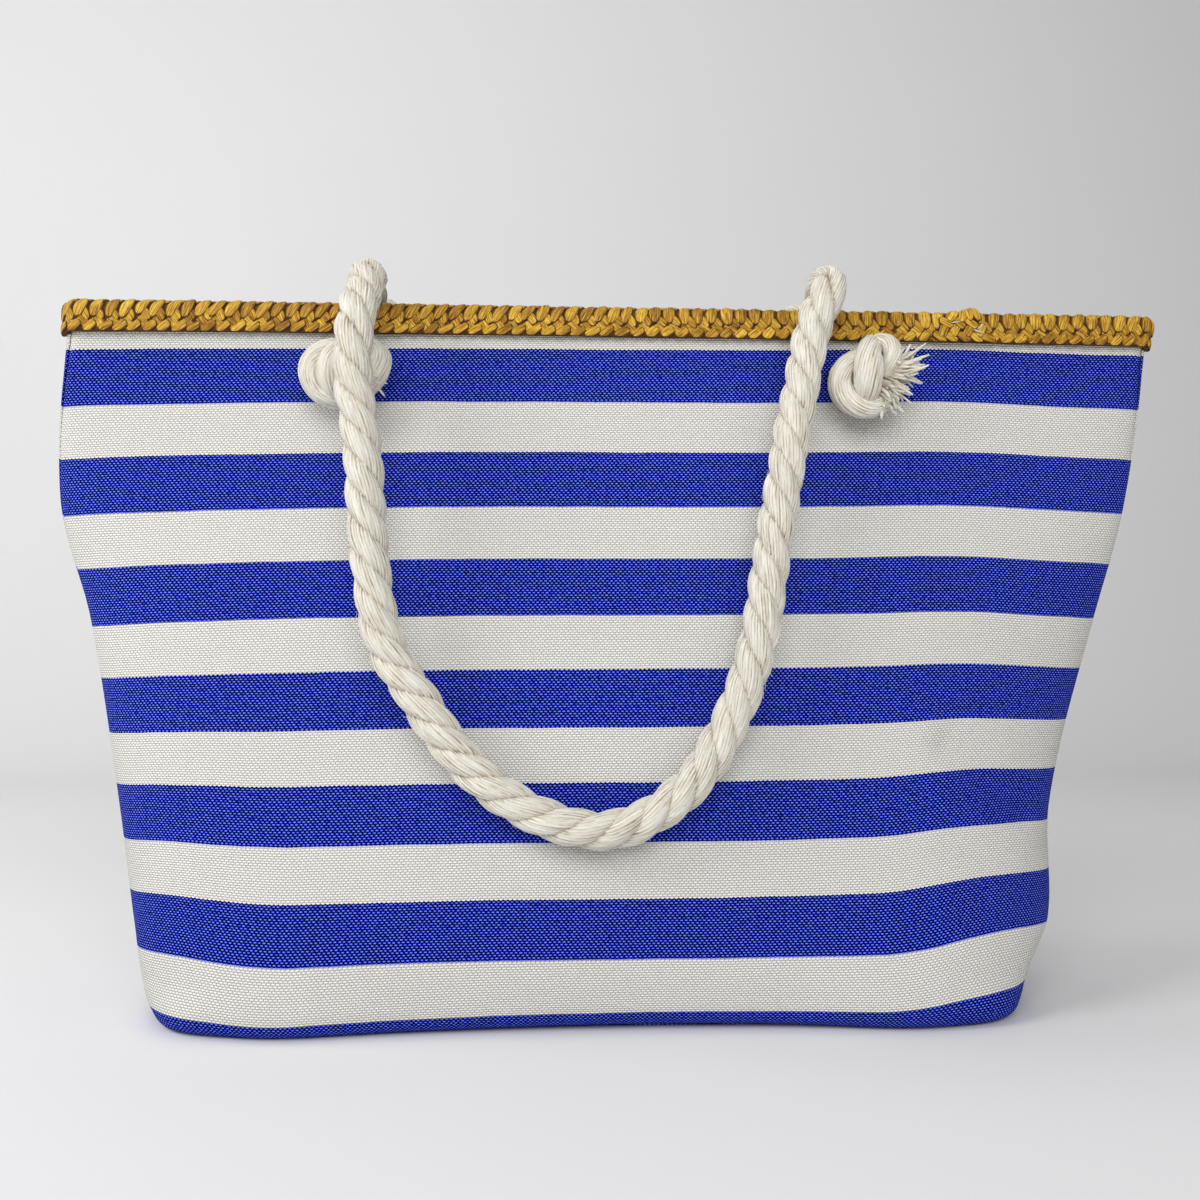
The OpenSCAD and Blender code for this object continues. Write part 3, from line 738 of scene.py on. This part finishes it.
def laid_rope(path, s0, sheaf, rng):
    """Three laid strands round a path, which starts s0 along the whole rope."""
    _, a, b = frames(path)
    s = s0 + arc_length(path)
    for k in range(STRANDS):
        turn = -2 * math.pi * s / LAY + 2 * math.pi * k / STRANDS
        spoke = np.cos(turn)[:, None] * a + np.sin(turn)[:, None] * b
        centre = path + spoke * STRAND_OUT
        way = unit(np.gradient(centre, axis=0))
        out = unit(spoke - np.sum(spoke * way, -1, keepdims=True) * way)

        # Painted shade where the strands press together, darker nearer the rope's middle.
        def shade_between_strands(rings):
            depth = np.linalg.norm(rings - path[:, None], axis=-1) / ROPE_R
            return np.clip((depth - 0.62) / 0.22, 0.05, 1)

        radius = np.full(len(path), STRAND_R)
        yarn_tube(sheaf, centre, radius, out, np.cross(way, out), YARNS, YARN_TWIST, rng,
                  STRAND_FLAT, shade_between_strands)


def stray_fibres(path, count, rng, sheaf):
    """Short loose fibres that stand off a rope."""
    t, a, b = frames(path)
    for i in rng.integers(2, len(path) - 2, count):
        turn = rng.uniform(0, 2 * math.pi)
        out = math.cos(turn) * a[i] + math.sin(turn) * b[i]
        way = unit(out * rng.uniform(0.1, 0.4) + t[i] * rng.choice([-1, 1]) + rng.normal(0, 0.1, 3))
        yarn(sheaf, path[i] + out * (ROPE_R - 0.9), way, rng.uniform(2.5, 5.5), 0.1, rng, 0.1)


def yarn(sheaf, start, way, length, size, rng, bend=0.16):
    """One loose yarn or fibre with a thin end."""
    t = np.linspace(0, 1, 7)[:, None]
    path = start + way * length * t + rng.normal(0, bend, 3) * length * t * t
    thick = size * np.array([1, 1.1, 1.1, 1.0, 0.95, 0.85, 0.5])[:, None, None]
    rings = thin_tube(path, thick, 6)
    # Painted shade, darker at the fibre's root where it leaves the rope.
    shade = np.linspace(0.45, 1, 7)[:, None]
    uv = uv_grid(np.linspace(0, 4, 7) + rng.uniform(0, 50), t[:, 0] * length)
    sheaf.grid(rings, uv, rng.uniform(0, 1), shade, closed=True, caps=True)


def thin_tube(line, radius, sides):
    """Rings of points round a thin line."""
    _, p, q = frames(line)
    phi = np.linspace(0, 2 * math.pi, sides, endpoint=False)[None, :, None]
    return line[:, None] + radius * (np.cos(phi) * p[:, None] + np.sin(phi) * q[:, None])


def make_handle(face, loop, rng):
    """One handle: its loop with both humps, and its two ends inside the bag."""
    left, right = f"{face}_left", f"{face}_right"
    a, b = rope_end_path(left), rope_end_path(right)
    points = a + [np.array(p, float) for p in loop] + b[::-1]
    path = smooth_path(points, ROPE_STEP)
    s = arc_length(path)
    cut_a, cut_b = (int(np.argmin(np.linalg.norm(path - p[INNER_POINTS], axis=1))) for p in (a, b))
    ends = []
    for place, span in ((left, slice(0, cut_a + 1)), (right, slice(cut_b, len(path)))):
        sheaf = Sheaf()
        laid_rope(path[span], s[span][0], sheaf, rng)
        ends.append(sheaf.build(f"rope_inner_{place}", ROPE))
        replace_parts(ends[-1], f"rope_end_{place}")
    sheaf = Sheaf()
    span = slice(cut_a, cut_b + 1)
    laid_rope(path[span], s[span][0], sheaf, rng)
    stray_fibres(path[span], 240, rng, sheaf)
    rope = sheaf.build(f"rope_{face}", ROPE, body=None)
    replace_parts(rope, f"{face}_handle")
    return rope, path[span], ends


def between(pair, share):
    """The value that is a share of the way from the first of a pair to the second."""
    return np.array(pair[0]) * (1 - share) + np.array(pair[1]) * share


def make_knot(place, rng):
    """The knot outside an eyelet, with its frayed end."""
    origin, along, out, up = knot_frame(place)
    axes = np.array([along, out, up])
    turns, fray = (KNOT_LEFT, FRAY_LEFT) if place.endswith("left") else (KNOT_RIGHT, FRAY_RIGHT)
    sheaf = Sheaf()
    for points in turns.values():
        local = smooth_path(points, 1.3)
        path = origin + local[:, :3] @ axes
        _, p, q = frames(path)
        yarns = int(round(YARNS * local[:, 3].mean() / STRAND_R * 1.1))
        yarn_tube(sheaf, path, local[:, 3], p, q, yarns, 0.045, rng)
    knot = sheaf.build(f"rope_knot_{place}", ROPE)
    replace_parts(knot, f"knot_{place}")
    count, starts, ways, lengths = fray
    tail = Sheaf()
    for share in rng.uniform(0, 1, count):
        start = between(starts, share) + rng.normal(0, 1.7, 3)
        way = between(ways, share) + rng.normal(0, 0.2, 3)
        length = between(lengths, share) * rng.uniform(0.35, 1.05)
        yarn(tail, origin + start @ axes, unit(way @ axes), length, rng.uniform(0.6, 0.95), rng, 0.3)
    tassel = tail.build(f"rope_fray_{place}", ROPE)
    return [knot, tassel]


rng = np.random.default_rng(7)
for face, side in (("front", -1), ("back", 1)):
    loop = [[p[0], p[1] if side < 0 else BACK_OUT - p[1], p[2]] for p in FRONT_LOOP]
    rope, path, inner = make_handle(face, loop, rng)
    knots = [piece for end in ("left", "right") for piece in make_knot(f"{face}_{end}", rng)]
    hinge = rope_end_path(f"{face}_left")[0][1]
    start, end = hinge + side * BLEND[0], hinge + side * BLEND[1]
    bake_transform(rope)

# ---------------------------------------------------------------- canvas


def stripe_top(x):
    """Height at which the first blue stripe starts: the cloth is sewn in a little askew."""
    return 317.4 + 4.6 * (x / RIM_W) + 1.8 * math.e ** (-((x - 150) / 55) ** 2)


def ease(t):
    """A smooth step from 0 to 1."""
    t = np.clip(t, 0, 1)
    return t * t * (3 - 2 * t)


def stripe_rise(x, z):
    """How much higher the stripes lie than level, low down towards the bag's ends."""
    low = np.clip((175 - z) / 130, 0, 1) ** 1.3
    return low * (2.5 + 7 * ease((-x - 150) / 75) + 9 * ease((x - 110) / 85))


def hill(x, middle_x, width):
    return np.exp(-((x - middle_x) / width) ** 2)


def crease(x, z, a, b, width):
    """1 along the line from a to b, and 0 well away from it."""
    a, b = np.array(a, float), np.array(b, float)
    along = b - a
    share = np.clip(((x - a[0]) * along[0] + (z - a[1]) * along[1]) / (along @ along), 0, 1)
    gap = np.hypot(x - a[0] - share * along[0], z - a[1] - share * along[1])
    return np.exp(-(gap / width) ** 2)


def folds(x, z):
    """Soft waves of the cloth, out from the even wall."""
    wave = 0.9 * np.sin(x / 61 + 0.6) * np.sin(z / 83 + 0.4)
    wave += 0.5 * np.sin(x / 27 + z / 60)
    return wave * np.clip(z / 60, 0, 1) * np.clip((RIM_H - 30 - z) / 60, 0, 1)


def front_folds(x, z):
    """The front's waves, its foot bowed in at the middle and out at its square corners, and the
    crease over the right corner."""
    foot = np.clip(1 - z / 75, 0, 1) ** 1.5
    bow = -3.6 * hill(x, -25, 85) + 13 * hill(x, 140, 48) + 9 * hill(x, -168, 42)
    edge = np.clip(1 - z / 22, 0, 1)
    corners_out = 6 * hill(x, -202, 16) + 5 * hill(x, 165, 16)
    cut_corner = -8 * ease((x - 172) / 30) * np.clip(1 - z / 40, 0, 1)
    dent = -3.2 * crease(x, z, (150, 126), (188, 98), 9)
    dent += 1.6 * crease(x, z, (150, 100), (185, 80), 12)
    return folds(x, z) + foot * bow + edge * corners_out + cut_corner + dent


def foot_lift(x):
    """How far the front's lower edge is off the ground, at its middle."""
    return 1.5 * hill(x, 15, 95)


def lifted(points, front):
    """The points of a wall, with the foot of the front raised at its middle."""
    if front:
        z = points[..., 2]
        points = points + 0.0
        points[..., 2] = z + foot_lift(points[..., 0]) * np.clip(1 - z / 24, 0, 1) ** 1.5
    return points


def way_down(points):
    """How far each point of a cloth is below the last row, along its column."""
    down = np.zeros(points.shape[:2])
    steps = np.linalg.norm(np.diff(points, axis=0), axis=-1)
    down[:-1] = np.cumsum(steps[::-1], axis=0)[::-1]
    return down


def cloth_half(name, start, side, off, z0, z1, material, waves, node, columns=300, rows=150):
    """Half of the bag's wall, as one sheet from inside one seam's cap to the other's."""
    turns = np.linspace(0, 1, columns)
    caps = np.linspace(0.05, 0.5, 8)
    us = start + np.concatenate([caps - 0.5, turns, 1.5 - caps[::-1]])
    us = np.unique(np.round(us, 6))
    zs = np.concatenate([np.linspace(z0, 14, 12, endpoint=False), np.linspace(14, z1, rows)])
    u, z = np.meshgrid(us, zs)
    flat = wall(u, z, off - turn_in(z))
    lift = waves(flat[..., 0], z) * np.clip(np.minimum(u - start, start + 1 - u) * 12, 0, 1)
    points = lifted(wall(u, z, off - turn_in(z) + lift), waves is front_folds)
    along = np.zeros_like(u)
    along[:, 1:] = np.cumsum(np.linalg.norm(np.diff(points, axis=1)[..., :2], axis=-1), axis=1)
    centre = np.argmin(np.abs(us - start - 0.5))
    along -= along[:, centre:centre + 1]
    down = way_down(flat[:, :, 1:])
    down += stripe_rise(flat[..., 0], z) - (z1 - stripe_top(flat[-1, :, 0]))[None, :]
    holes = np.zeros(u.shape, bool)
    for x, where in EYELETS.values():
        if where == side:
            c = on_face(side, x, EYELET_Z, off)
            holes |= np.linalg.norm(points - c, axis=-1) < EYELET_HOLE
    keep = ~(holes[:-1, :-1] | holes[1:, :-1] | holes[:-1, 1:] | holes[1:, 1:])
    sheaf = Sheaf()
    uv = np.stack([along, down + STRIPE * 20], -1)
    sheaf.grid(points, uv, keep=keep)
    obj = sheaf.build(name, material)
    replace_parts(obj, node)
    return obj


def thicken(obj, thickness):
    """Gives a sheet its thickness, on the inside."""
    solid = obj.modifiers.new("thickness", "SOLIDIFY")
    solid.thickness = thickness * MM
    solid.offset = -1
    return obj


front_cloth = cloth_half(
    "canvas_front", 0, -1, SEAM_R, 0.4, CANVAS_TOP, CANVAS, front_folds, "front_panel")
back_cloth = cloth_half(
    "canvas_back", 2, 1, SEAM_R, 0.4, CANVAS_TOP, CANVAS, folds, "back_panel")
for cloth in (front_cloth, back_cloth):
    thicken(cloth, CANVAS_T * 0.8)


def lining_waves(x, z):
    """Slack of the lining, away from what is sewn to it."""
    calm = np.clip((np.abs(x) - POCKET_W / 2 - 8) / 40, 0, 1)
    return -calm * 0.8 * (1 + np.sin(x / 17 + np.sin(z / 31))) * np.clip((300 - z) / 60, 0, 1)


def front_lining_waves(x, z):
    """The front lining goes in wherever the canvas does."""
    return lining_waves(x, z) + np.minimum(front_folds(x, z), 0)


def back_lining_waves(x, z):
    return lining_waves(x, z) + np.minimum(folds(x, z), 0)


for name, start, side, waves in (
    ("front", 0, -1, front_lining_waves), ("back", 2, 1, back_lining_waves),
):
    cloth = cloth_half(
        f"lining_cloth_{name}", start, side, LINING_OFF, LINING_Z, CANVAS_TOP, LINING,
        waves, f"lining_{name}", 200, 90)
    thicken(cloth, LINING_T * 0.6)


def flat_sheet(name, z, inset, material, node, lift=0.0):
    """A sheet on the bag's floor, out to its walls."""
    us = np.linspace(0, 4, 240, endpoint=False)
    zs = np.full_like(us, max(z, 0.4))
    in_front = np.clip(np.minimum(us, 1 - us) * 12, 0, 1)
    bulge = front_folds(wall(us, zs, SEAM_R - inset)[:, 0], zs) * in_front
    rim = wall(us, zs, SEAM_R - inset + bulge)
    edge_lift = foot_lift(rim[:, 0]) * in_front if z < LINING_Z else 0
    rim = rim[:, :2]
    centre = rim.mean(0)
    shares = np.array([1, 0.985, 0.94, 0.86, 0.74, 0.6, 0.45, 0.3, 0.16, 0.04])
    rings = centre + (rim - centre)[None] * shares[:, None, None]
    heights = z + lift * np.sin(rings[..., 0] / 23) * np.sin(rings[..., 1] / 17)
    heights[0] += edge_lift
    points = np.concatenate([rings, heights[..., None]], -1)
    uv = points[..., :2] - [0, points[..., 1].min()] + [0, STRIPE * 7 + 12]
    uv = np.concatenate([uv, uv[:, :1]], 1)
    sheaf = Sheaf()
    sheaf.grid(points, uv, closed=True)
    sheaf.face(np.arange(len(us)) + len(us) * (len(shares) - 1))
    obj = sheaf.build(name, material)
    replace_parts(obj, node)
    width, depth = np.ptp(rim[:, 0]), np.ptp(rim[:, 1])
    return obj, width, depth


base, base_w, base_d = flat_sheet("canvas_base", 0.7, CANVAS_T + 3.5, CANVAS, "base_panel")
thicken(base, -1.2)
floor_cloth, floor_w, floor_d = flat_sheet(
    "lining_cloth_base", LINING_Z + 0.2, CANVAS_T + LINING_T + 2.2, LINING,
    "lining_base", 0.25)
thicken(floor_cloth, -0.5)

# ---------------------------------------------------------------- side seams


def side_seam(name, start, node):
    """A strip of the same canvas, folded over one side seam."""
    us = start + np.linspace(0.27, 0.73, 22)
    zs = np.linspace(3, RIM_H - BRAID_H - GAP, 150)
    u, z = np.meshgrid(us, zs)
    share = np.abs(u - start - 0.5) / 0.23
    off = SEAM_R + GAP + 1.0 * np.sqrt(np.clip(1 - share ** 8, 0, 1)) - turn_in(z)
    points = wall(u, z, off)
    down = way_down(points) + (stripe_top(points[0, 0, 0]) - zs[-1] + STRIPE * 20)
    along = (u - start) * 24
    sheaf = Sheaf()
    sheaf.grid(points, np.stack([along, down], -1))
    obj = sheaf.build(name, CANVAS)
    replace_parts(obj, node)
    thicken(obj, 0.9)
    return obj


strips = [side_seam("seam_strip_left", 3, "side_binding_left")]
strips.append(side_seam("seam_strip_right", 1, "side_binding_right"))

# ---------------------------------------------------------------- braid

BRAID_IN = LINING_OFF - LINING_T - GAP
BRAID_OUT = SEAM_R + GAP
FACE_OUT = BRAID_OUT + BRAID_T - 1.5    # the core's outer face, off the middle line
FACE_IN = BRAID_IN - 0.8                # the core's inner face
FACE_TOP = RIM_H - 5.2                  # height where the core starts to round over
CROWN = (FACE_OUT - FACE_IN) / 2
OUTER_RUN = FACE_TOP - (RIM_H - BRAID_H)
CROWN_H = 3.9
CROWN_RUN = 18.0


def braid_section(t):
    """Off and height of the core at t mm up from its outer lower edge, over the top and down
    inside, with the direction out of the core there."""
    t = np.asarray(t, float)
    turn = np.clip((t - OUTER_RUN) / CROWN_RUN, 0, 1) * math.pi
    off = (FACE_OUT + FACE_IN) / 2 + CROWN * np.cos(turn)
    below = np.minimum(t - OUTER_RUN, 0) + np.minimum(OUTER_RUN + CROWN_RUN - t, 0)
    z = FACE_TOP + CROWN_H * np.sin(turn) + below
    return off, z, np.cos(turn), np.sin(turn)


RIM_US = np.linspace(0, 4, 4001)
RIM_S = arc_length(wall(RIM_US, np.full_like(RIM_US, RIM_H - 10), BRAID_OUT + 2.0))
RIM_LENGTH = RIM_S[-1]


def braid_point(s, t, out):
    """A point on the braid: s mm round the rim, t up its section, and out from its core."""
    u = np.interp(s % RIM_LENGTH, RIM_S, RIM_US)
    off, z, n_off, n_z = braid_section(t)
    return wall(u, z + n_z * out, off + n_off * out)


def braid_core():
    """The inside of the braid, as a closed ring of sections, coloured dark as painted shade in the gaps
    between the leaves.
    """
    at = np.linspace(0, RIM_LENGTH, 561)[:-1]
    ts = np.concatenate([
        np.linspace(0.4, OUTER_RUN, 8),
        np.linspace(OUTER_RUN, OUTER_RUN + CROWN_RUN, 12)[1:],
        np.linspace(OUTER_RUN + CROWN_RUN, TOTAL_RUN - 0.4, 8)[1:],
    ])
    s, t = np.meshgrid(at, ts, indexing="ij")
    off, z, _, _ = braid_section(ts)
    outer_half = off > (BRAID_OUT + BRAID_IN) / 2
    inner_off = np.where(outer_half, np.minimum(off, BRAID_OUT), np.maximum(off, BRAID_IN))
    inner_z = np.minimum(z, CANVAS_TOP + GAP)
    u = np.interp(at, RIM_S, RIM_US)
    back = wall(u[:, None], inner_z[None, ::-1], inner_off[None, ::-1])
    ring = np.concatenate([braid_point(s, t, 0.0), back], 1)
    rows, cols = ring.shape[:2]
    sheaf = Sheaf()
    sheaf.grid(ring, uv_grid(np.arange(cols + 1), at), closed=True)
    last = (rows - 1) * cols
    for j in range(cols):
        k = (j + 1) % cols
        sheaf.face([last + j, last + k, k, j])
    return sheaf.build("braid_core", CORE_PAINTED_SHADE)


def leaf(sheaf, s, t, angle, length, width, crown, tuck, base, tone, blunt=3.0):
    """One fold of raffia: a crowned leaf at s, t that lies at an angle to the rim. It rises by
    tuck from its left edge to its right one, so that neighbours lie like shingles."""
    rows, cols = 9, 9
    a = np.linspace(-1, 1, rows)[:, None]
    b = np.linspace(-1, 1, cols)[None, :]
    half = np.maximum(width / 2 * (1 - np.abs(a) ** blunt) ** (1 / blunt), 0.1 * width)
    x = a * length / 2 + 0 * b
    y = b * half
    ds = x * math.cos(angle) - y * math.sin(angle)
    dt = x * math.sin(angle) + y * math.cos(angle)
    out = base + crown * (1 - b ** 4) * (1 - 0.4 * a ** 4) + tuck * b
    points = braid_point(s + ds, np.clip(t + dt, 0.1, TOTAL_RUN - 0.1), out)
    # Painted shade: the shade value falls off towards a leaf's edges and ends.
    shade = np.clip((1 - np.abs(b)) * half / LEAF_EDGE, 0, 1) * np.clip((1 - a * a) * length / 3, 0.2, 1)
    uv = np.stack([y + 0 * a + 50 * tone, x + 0 * b], -1)
    first = sheaf.count
    sheaf.grid(points[:, ::-1], uv[:, ::-1], tone, shade[:, ::-1])
    index = first + np.arange(rows * cols).reshape(rows, cols)
    sheaf.face(np.concatenate([index[0, :], index[1:, -1], index[-1, -2::-1], index[-2:0:-1, 0]]))


# The rows of leaves on each face of the braid, upwards from its edge: height on the face, slant
# in degrees, length, width, crown, tuck, base, shift along the rim in pitches, and squareness
LEAF_ROWS = {
    "back_chevron": (4.4, -44, 7.6, 5.4, 0.8, 0.3, -0.3, 0.5, 4.0),
    "hem": (2.5, 40, 7.4, 5.4, 1.1, -0.35, -0.05, 0.0, 4.0),
    "under": (8.6, -54, 8.0, 5.0, 0.85, 0.15, -0.05, 0.55, 2.4),
    "upper": (12.9, 80, 13.0, 6.8, 1.25, -0.35, -0.05, 0.25, 2.2),
}
PITCH = 7.1             # from one leaf of a row to the next
LEAF_EDGE = 1.2         # how far in from a leaf's edge its painted shade reaches


def leaf_row(name, t, degrees, length, width, crown, tuck, base, shift, blunt, rng):
    """A row of leaves all round the rim."""
    count = int(round(RIM_LENGTH / PITCH))
    sheaf = Sheaf()
    for i in range(count):
        s = (i + shift) * RIM_LENGTH / count + rng.normal(0, 0.3)
        angle = math.radians(degrees + rng.normal(0, 4.5))
        leaf(sheaf, s, t + rng.normal(0, 0.22), angle, length * rng.uniform(0.92, 1.08),
             width * rng.uniform(0.93, 1.08), crown * rng.uniform(0.8, 1.2), tuck,
             base + rng.normal(0, 0.08), rng.uniform(0, 1), blunt)
    return sheaf.build(name, RAFFIA)


def splice(rng):
    """Where the braid's two ends are overlapped: one end lies over the other, cut and sewn."""
    at = np.interp(u_at(-1, SPLICE_X, CANVAS_TOP), RIM_US, RIM_S)
    sheaf = Sheaf()
    for row in range(4):
        for i in range(5 - row):
            s = at - 13 + i * 6.2 + row * 2.6 + rng.normal(0, 0.5)
            slant = math.radians((48 if row % 2 else -40) + rng.normal(0, 12))
            leaf(sheaf, s, 2.4 + row * 3.7, slant, 8.0, 5.4, 1.0, -0.3, 1.1 + 0.2 * row,
                 rng.uniform(0, 1), 3.0)
    for i, turn in enumerate((62, 80, 104)):
        leaf(sheaf, at + 1.5 + 2.6 * i, 15.5, math.radians(turn), 10.5, 4.8, 1.5, -0.3,
             1.2 + 0.4 * i, rng.uniform(0.4, 1), 2.4)
    ends = sheaf.build("braid_splice", RAFFIA)
    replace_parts(ends, "trim_splice")
    bits = Sheaf()
    for ds, t, way in (
        (-6, 9.5, (1, -0.1, 0.1)), (4.5, 6.0, (1, -0.2, -0.5)), (6.5, 6.6, (1, -0.1, 0.5)),
    ):
        yarn(bits, braid_point(at + ds, t, 2.6), unit(np.array(way)), 4.2, 0.32, rng)
    bits.build("splice_thread", THREAD)


TOTAL_RUN = 2 * OUTER_RUN + CROWN_RUN
rng = np.random.default_rng(11)
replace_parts(braid_core(), "braid_trim")
for name, (t, degrees, *rest) in LEAF_ROWS.items():
    leaf_row(f"braid_outer_{name}", t, degrees, *rest, rng)
    leaf_row(f"braid_inner_{name}", TOTAL_RUN - t, -degrees, *rest, rng)
leaf_row("braid_top", OUTER_RUN + CROWN_RUN * 0.5, 80, 11.5, 6.9, 0.9, -0.4, -0.3, 0.6, 3.0, rng)
splice(rng)

# ---------------------------------------------------------------- stitches, pocket and patches


def stitches(name, path, out, length=2.6, space=3.8, size=0.28):
    """A row of stitches along a path, each one a short thread that dips in at both ends."""
    path = smooth_path(path, 0.4)
    s = arc_length(path)
    sheaf = Sheaf()
    t = np.linspace(-0.5, 0.5, 7)
    for middle_at in np.arange(space / 2, s[-1], space):
        at = middle_at + t * length
        line = np.stack([np.interp(at, s, path[:, k]) for k in range(3)], -1)
        line = line + out * (0.3 * np.cos(t * math.pi * 1.3) - 0.05)[:, None]
        rings = thin_tube(line, size, 8)
        sheaf.grid(rings, uv_grid(np.linspace(0, 1.8, 9), at), closed=True, caps=True)
    return sheaf.build(name, THREAD)


def seam_runs(name, corner_points, count, at, side, length=2.6, space=3.8):
    """Rows of stitches along the straight runs between corners of a cloth on a side's wall."""
    seams = []
    for i, (a, b) in enumerate(zip(corner_points[:-1], corner_points[1:])):
        x, z = (np.linspace(p, q, count) for p, q in zip(a, b))
        out = np.array([0, -side * 1.0, 0])
        seams.append(stitches(f"{name}_{i}", at(x, z), out, length, space))
    return seams


def pocket_y(z):
    """The pocket's flat face at height z."""
    return on_face(1, POCKET_W / 2, z, POCKET_OFF - POCKET_T)[..., 1]


def pocket_point(x, z, lift=0.0):
    """A point of the pocket's cloth: flat over most of it, and down to the lining at its edges."""
    flat = pocket_y(z)
    edge = POCKET_W / 2 - np.abs(x)
    edge = np.minimum(edge, np.minimum(z - POCKET_TOP + POCKET_H, POCKET_TOP - z) * 0.7)
    wall_y = on_face(1, x, z, POCKET_OFF - 0.1)[..., 1]
    share = np.clip(edge / 9, 0, 1)
    share = share * share * (3 - 2 * share)
    hem = 0.35 * np.clip((HEM - edge) / 1.0, 0, 1)
    return np.stack([x + 0 * z, wall_y + (flat - wall_y) * share - hem - lift, z + 0 * x], -1)


def pocket():
    """The cloth of the inner pocket, hemmed and sewn to the back's lining."""
    xs = np.linspace(POCKET_W / 2, -POCKET_W / 2, 120)
    zs = np.linspace(POCKET_TOP - POCKET_H, POCKET_TOP, 90)
    x, z = np.meshgrid(xs, zs)
    sheaf = Sheaf()
    sheaf.grid(pocket_point(x, z), uv_grid(xs, zs))
    cloth = sheaf.build("pocket_cloth", LINING)
    thicken(cloth, -0.5)
    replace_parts(cloth, "pocket_pouch")
    inset = HEM * 0.5
    low, high = POCKET_TOP - POCKET_H + inset * 1.5, POCKET_TOP - inset * 1.5
    half = POCKET_W / 2 - inset
    edge = [(half, high), (half, low), (-half, low), (-half, high), (half, high)]
    seams = seam_runs("pocket_stitches", edge, 30, lambda x, z: pocket_point(x, z, 0.1), 1)


def snap_patch(face, side):
    """A square of cloth that carries one half of the snap, with stitches round its edge."""
    half = PATCH_SIDE / 2
    x, z = np.meshgrid(np.linspace(-half, half, 40), SNAP_Z + np.linspace(-half, half, 40))
    edge = half - np.maximum(np.abs(x), np.abs(z - SNAP_Z))
    lift = GAP + 0.55 + 0.2 * np.clip(edge / 0.8, 0, 1) - 0.12 * np.exp(-((edge - 2.6) / 0.9) ** 2)
    sheaf = Sheaf()
    sheaf.grid(on_face(side, x, z, SNAP_OFF - lift), np.stack([x, z], -1))
    patch = sheaf.build(f"snap_patch_cloth_{face}", CANVAS_PLAIN)
    thicken(patch, 0.5 * side)
    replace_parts(patch, f"snap_patch_{face}")
    ring = half - 2.6
    square = [(-ring, -ring), (ring, -ring), (ring, ring), (-ring, ring), (-ring, -ring)]
    seams = seam_runs(
        f"snap_stitches_{face}", square, 12,
        lambda x, z: on_face(side, x, z + SNAP_Z, SNAP_OFF - GAP - 0.75), side, 2.0, 3.0)


pocket()
snap_patch("front", -1)
snap_patch("back", 1)
for face, start, side in (("front", 0, -1), ("back", 2, 1)):
    us = start + np.linspace(0.01, 0.99, 160)
    path = wall(us, np.full_like(us, RIM_H - BRAID_H - 3.5), SNAP_OFF + 0.1)
    stitches(f"lining_stitches_{face}", path, np.array([0, -side * 1.0, 0]), 3.2, 4.6)

# ---------------------------------------------------------------- CAD pieces that stay


def dress(material, *nodes):
    """Gives CAD pieces their material."""
    for node in nodes:
        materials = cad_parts[node].data.materials
        materials.clear()
        materials.append(material)


dress(BRASS, "snap_socket", "snap_stud", "zip_teeth", "zip_stops", "zip_slider", "zip_puller")
dress(BRASS, *(f"eyelet_{kind}{place}" for kind in ("", "washer_") for place in EYELETS))
dress(TAPE, "zip_tape")
dress(BOARD, "base_board")

# ---------------------------------------------------------------- studio


def studio_material(name, value):
    n = Nodes(name, Specular_IOR_Level=0.1)
    soft = n.noise(n.place(), 3.0, 2.0)
    low, high = value * 0.995, min(value * 1.005, 1.0)
    colour = n.ramp(soft, (0.3, (low, low, low)), (0.7, (high, high, high)))
    return n.finish(colour, n.level(0.85, soft, 0.1))


def add_studio():
    """A pale floor that curves up into a pale wall well behind the bag."""
    far, bend, width, near, top = 1500.0, 500.0, 3200.0, -2200.0, 2400.0
    turns = np.linspace(0, math.pi / 2, 20)
    arc = [(far - bend + bend * math.sin(a), bend - bend * math.cos(a)) for a in turns]
    profile = [(near, 0.0), (-600.0, 0.0), (0.0, 0.0), (500.0, 0.0)] + arc + [(far, 1500.0), (far, top)]
    points = np.array([[[x, y, z] for x in np.linspace(-width, width, 9)] for y, z in profile])
    sheaf = Sheaf()
    sheaf.grid(points, points[..., :2])
    floor = sheaf.build("studio_floor", studio_material("studio_paper", 0.80), body=None)


# Where each light is and what it faces, in metres, its width and height, and its power in watts
LIGHTS = {
    "key": ((-1.3, -0.7, 1.0), (-0.3, -0.3, 0.0), (0.7, 0.7), 11.5),
    "front": ((-0.2, -2.2, 1.3), (0, 0, 0.2), (2.0, 1.4), 37.5),
    "fill": ((1.1, -1.3, 0.7), (0, 0, 0.2), (1.4, 1.2), 4.0),
    "overhead": ((0.0, 0.1, 2.0), (0, 0.1, 0), (1.8, 1.8), 7.0),
    "wall": ((-1.5, 0.2, 1.2), (-0.3, 1.5, 0.6), (0.8, 0.8), 8.5),
}
WORLD_LIGHT = 0.13


def area_light(name, at, aim, size, power):
    data = bpy.data.lights.new(name, "AREA")
    data.shape = "RECTANGLE"
    data.size, data.size_y = size
    data.energy = power
    light = bpy.data.objects.new(name, data)
    light.location = at
    light.rotation_euler = (Vector(aim) - Vector(at)).to_track_quat("-Z", "Y").to_euler()
    bpy.context.scene.collection.objects.link(light)


add_studio()
for name, light in LIGHTS.items():
    area_light(name, *light)
world = bpy.data.worlds.new("studio")
world.use_nodes = True
background = world.node_tree.nodes["Background"]
background.inputs["Color"].default_value = (1.0, 1.0, 1.0, 1.0)
background.inputs["Strength"].default_value = WORLD_LIGHT
scene = bpy.context.scene
scene.world = world
scene.view_settings.view_transform = "Standard"
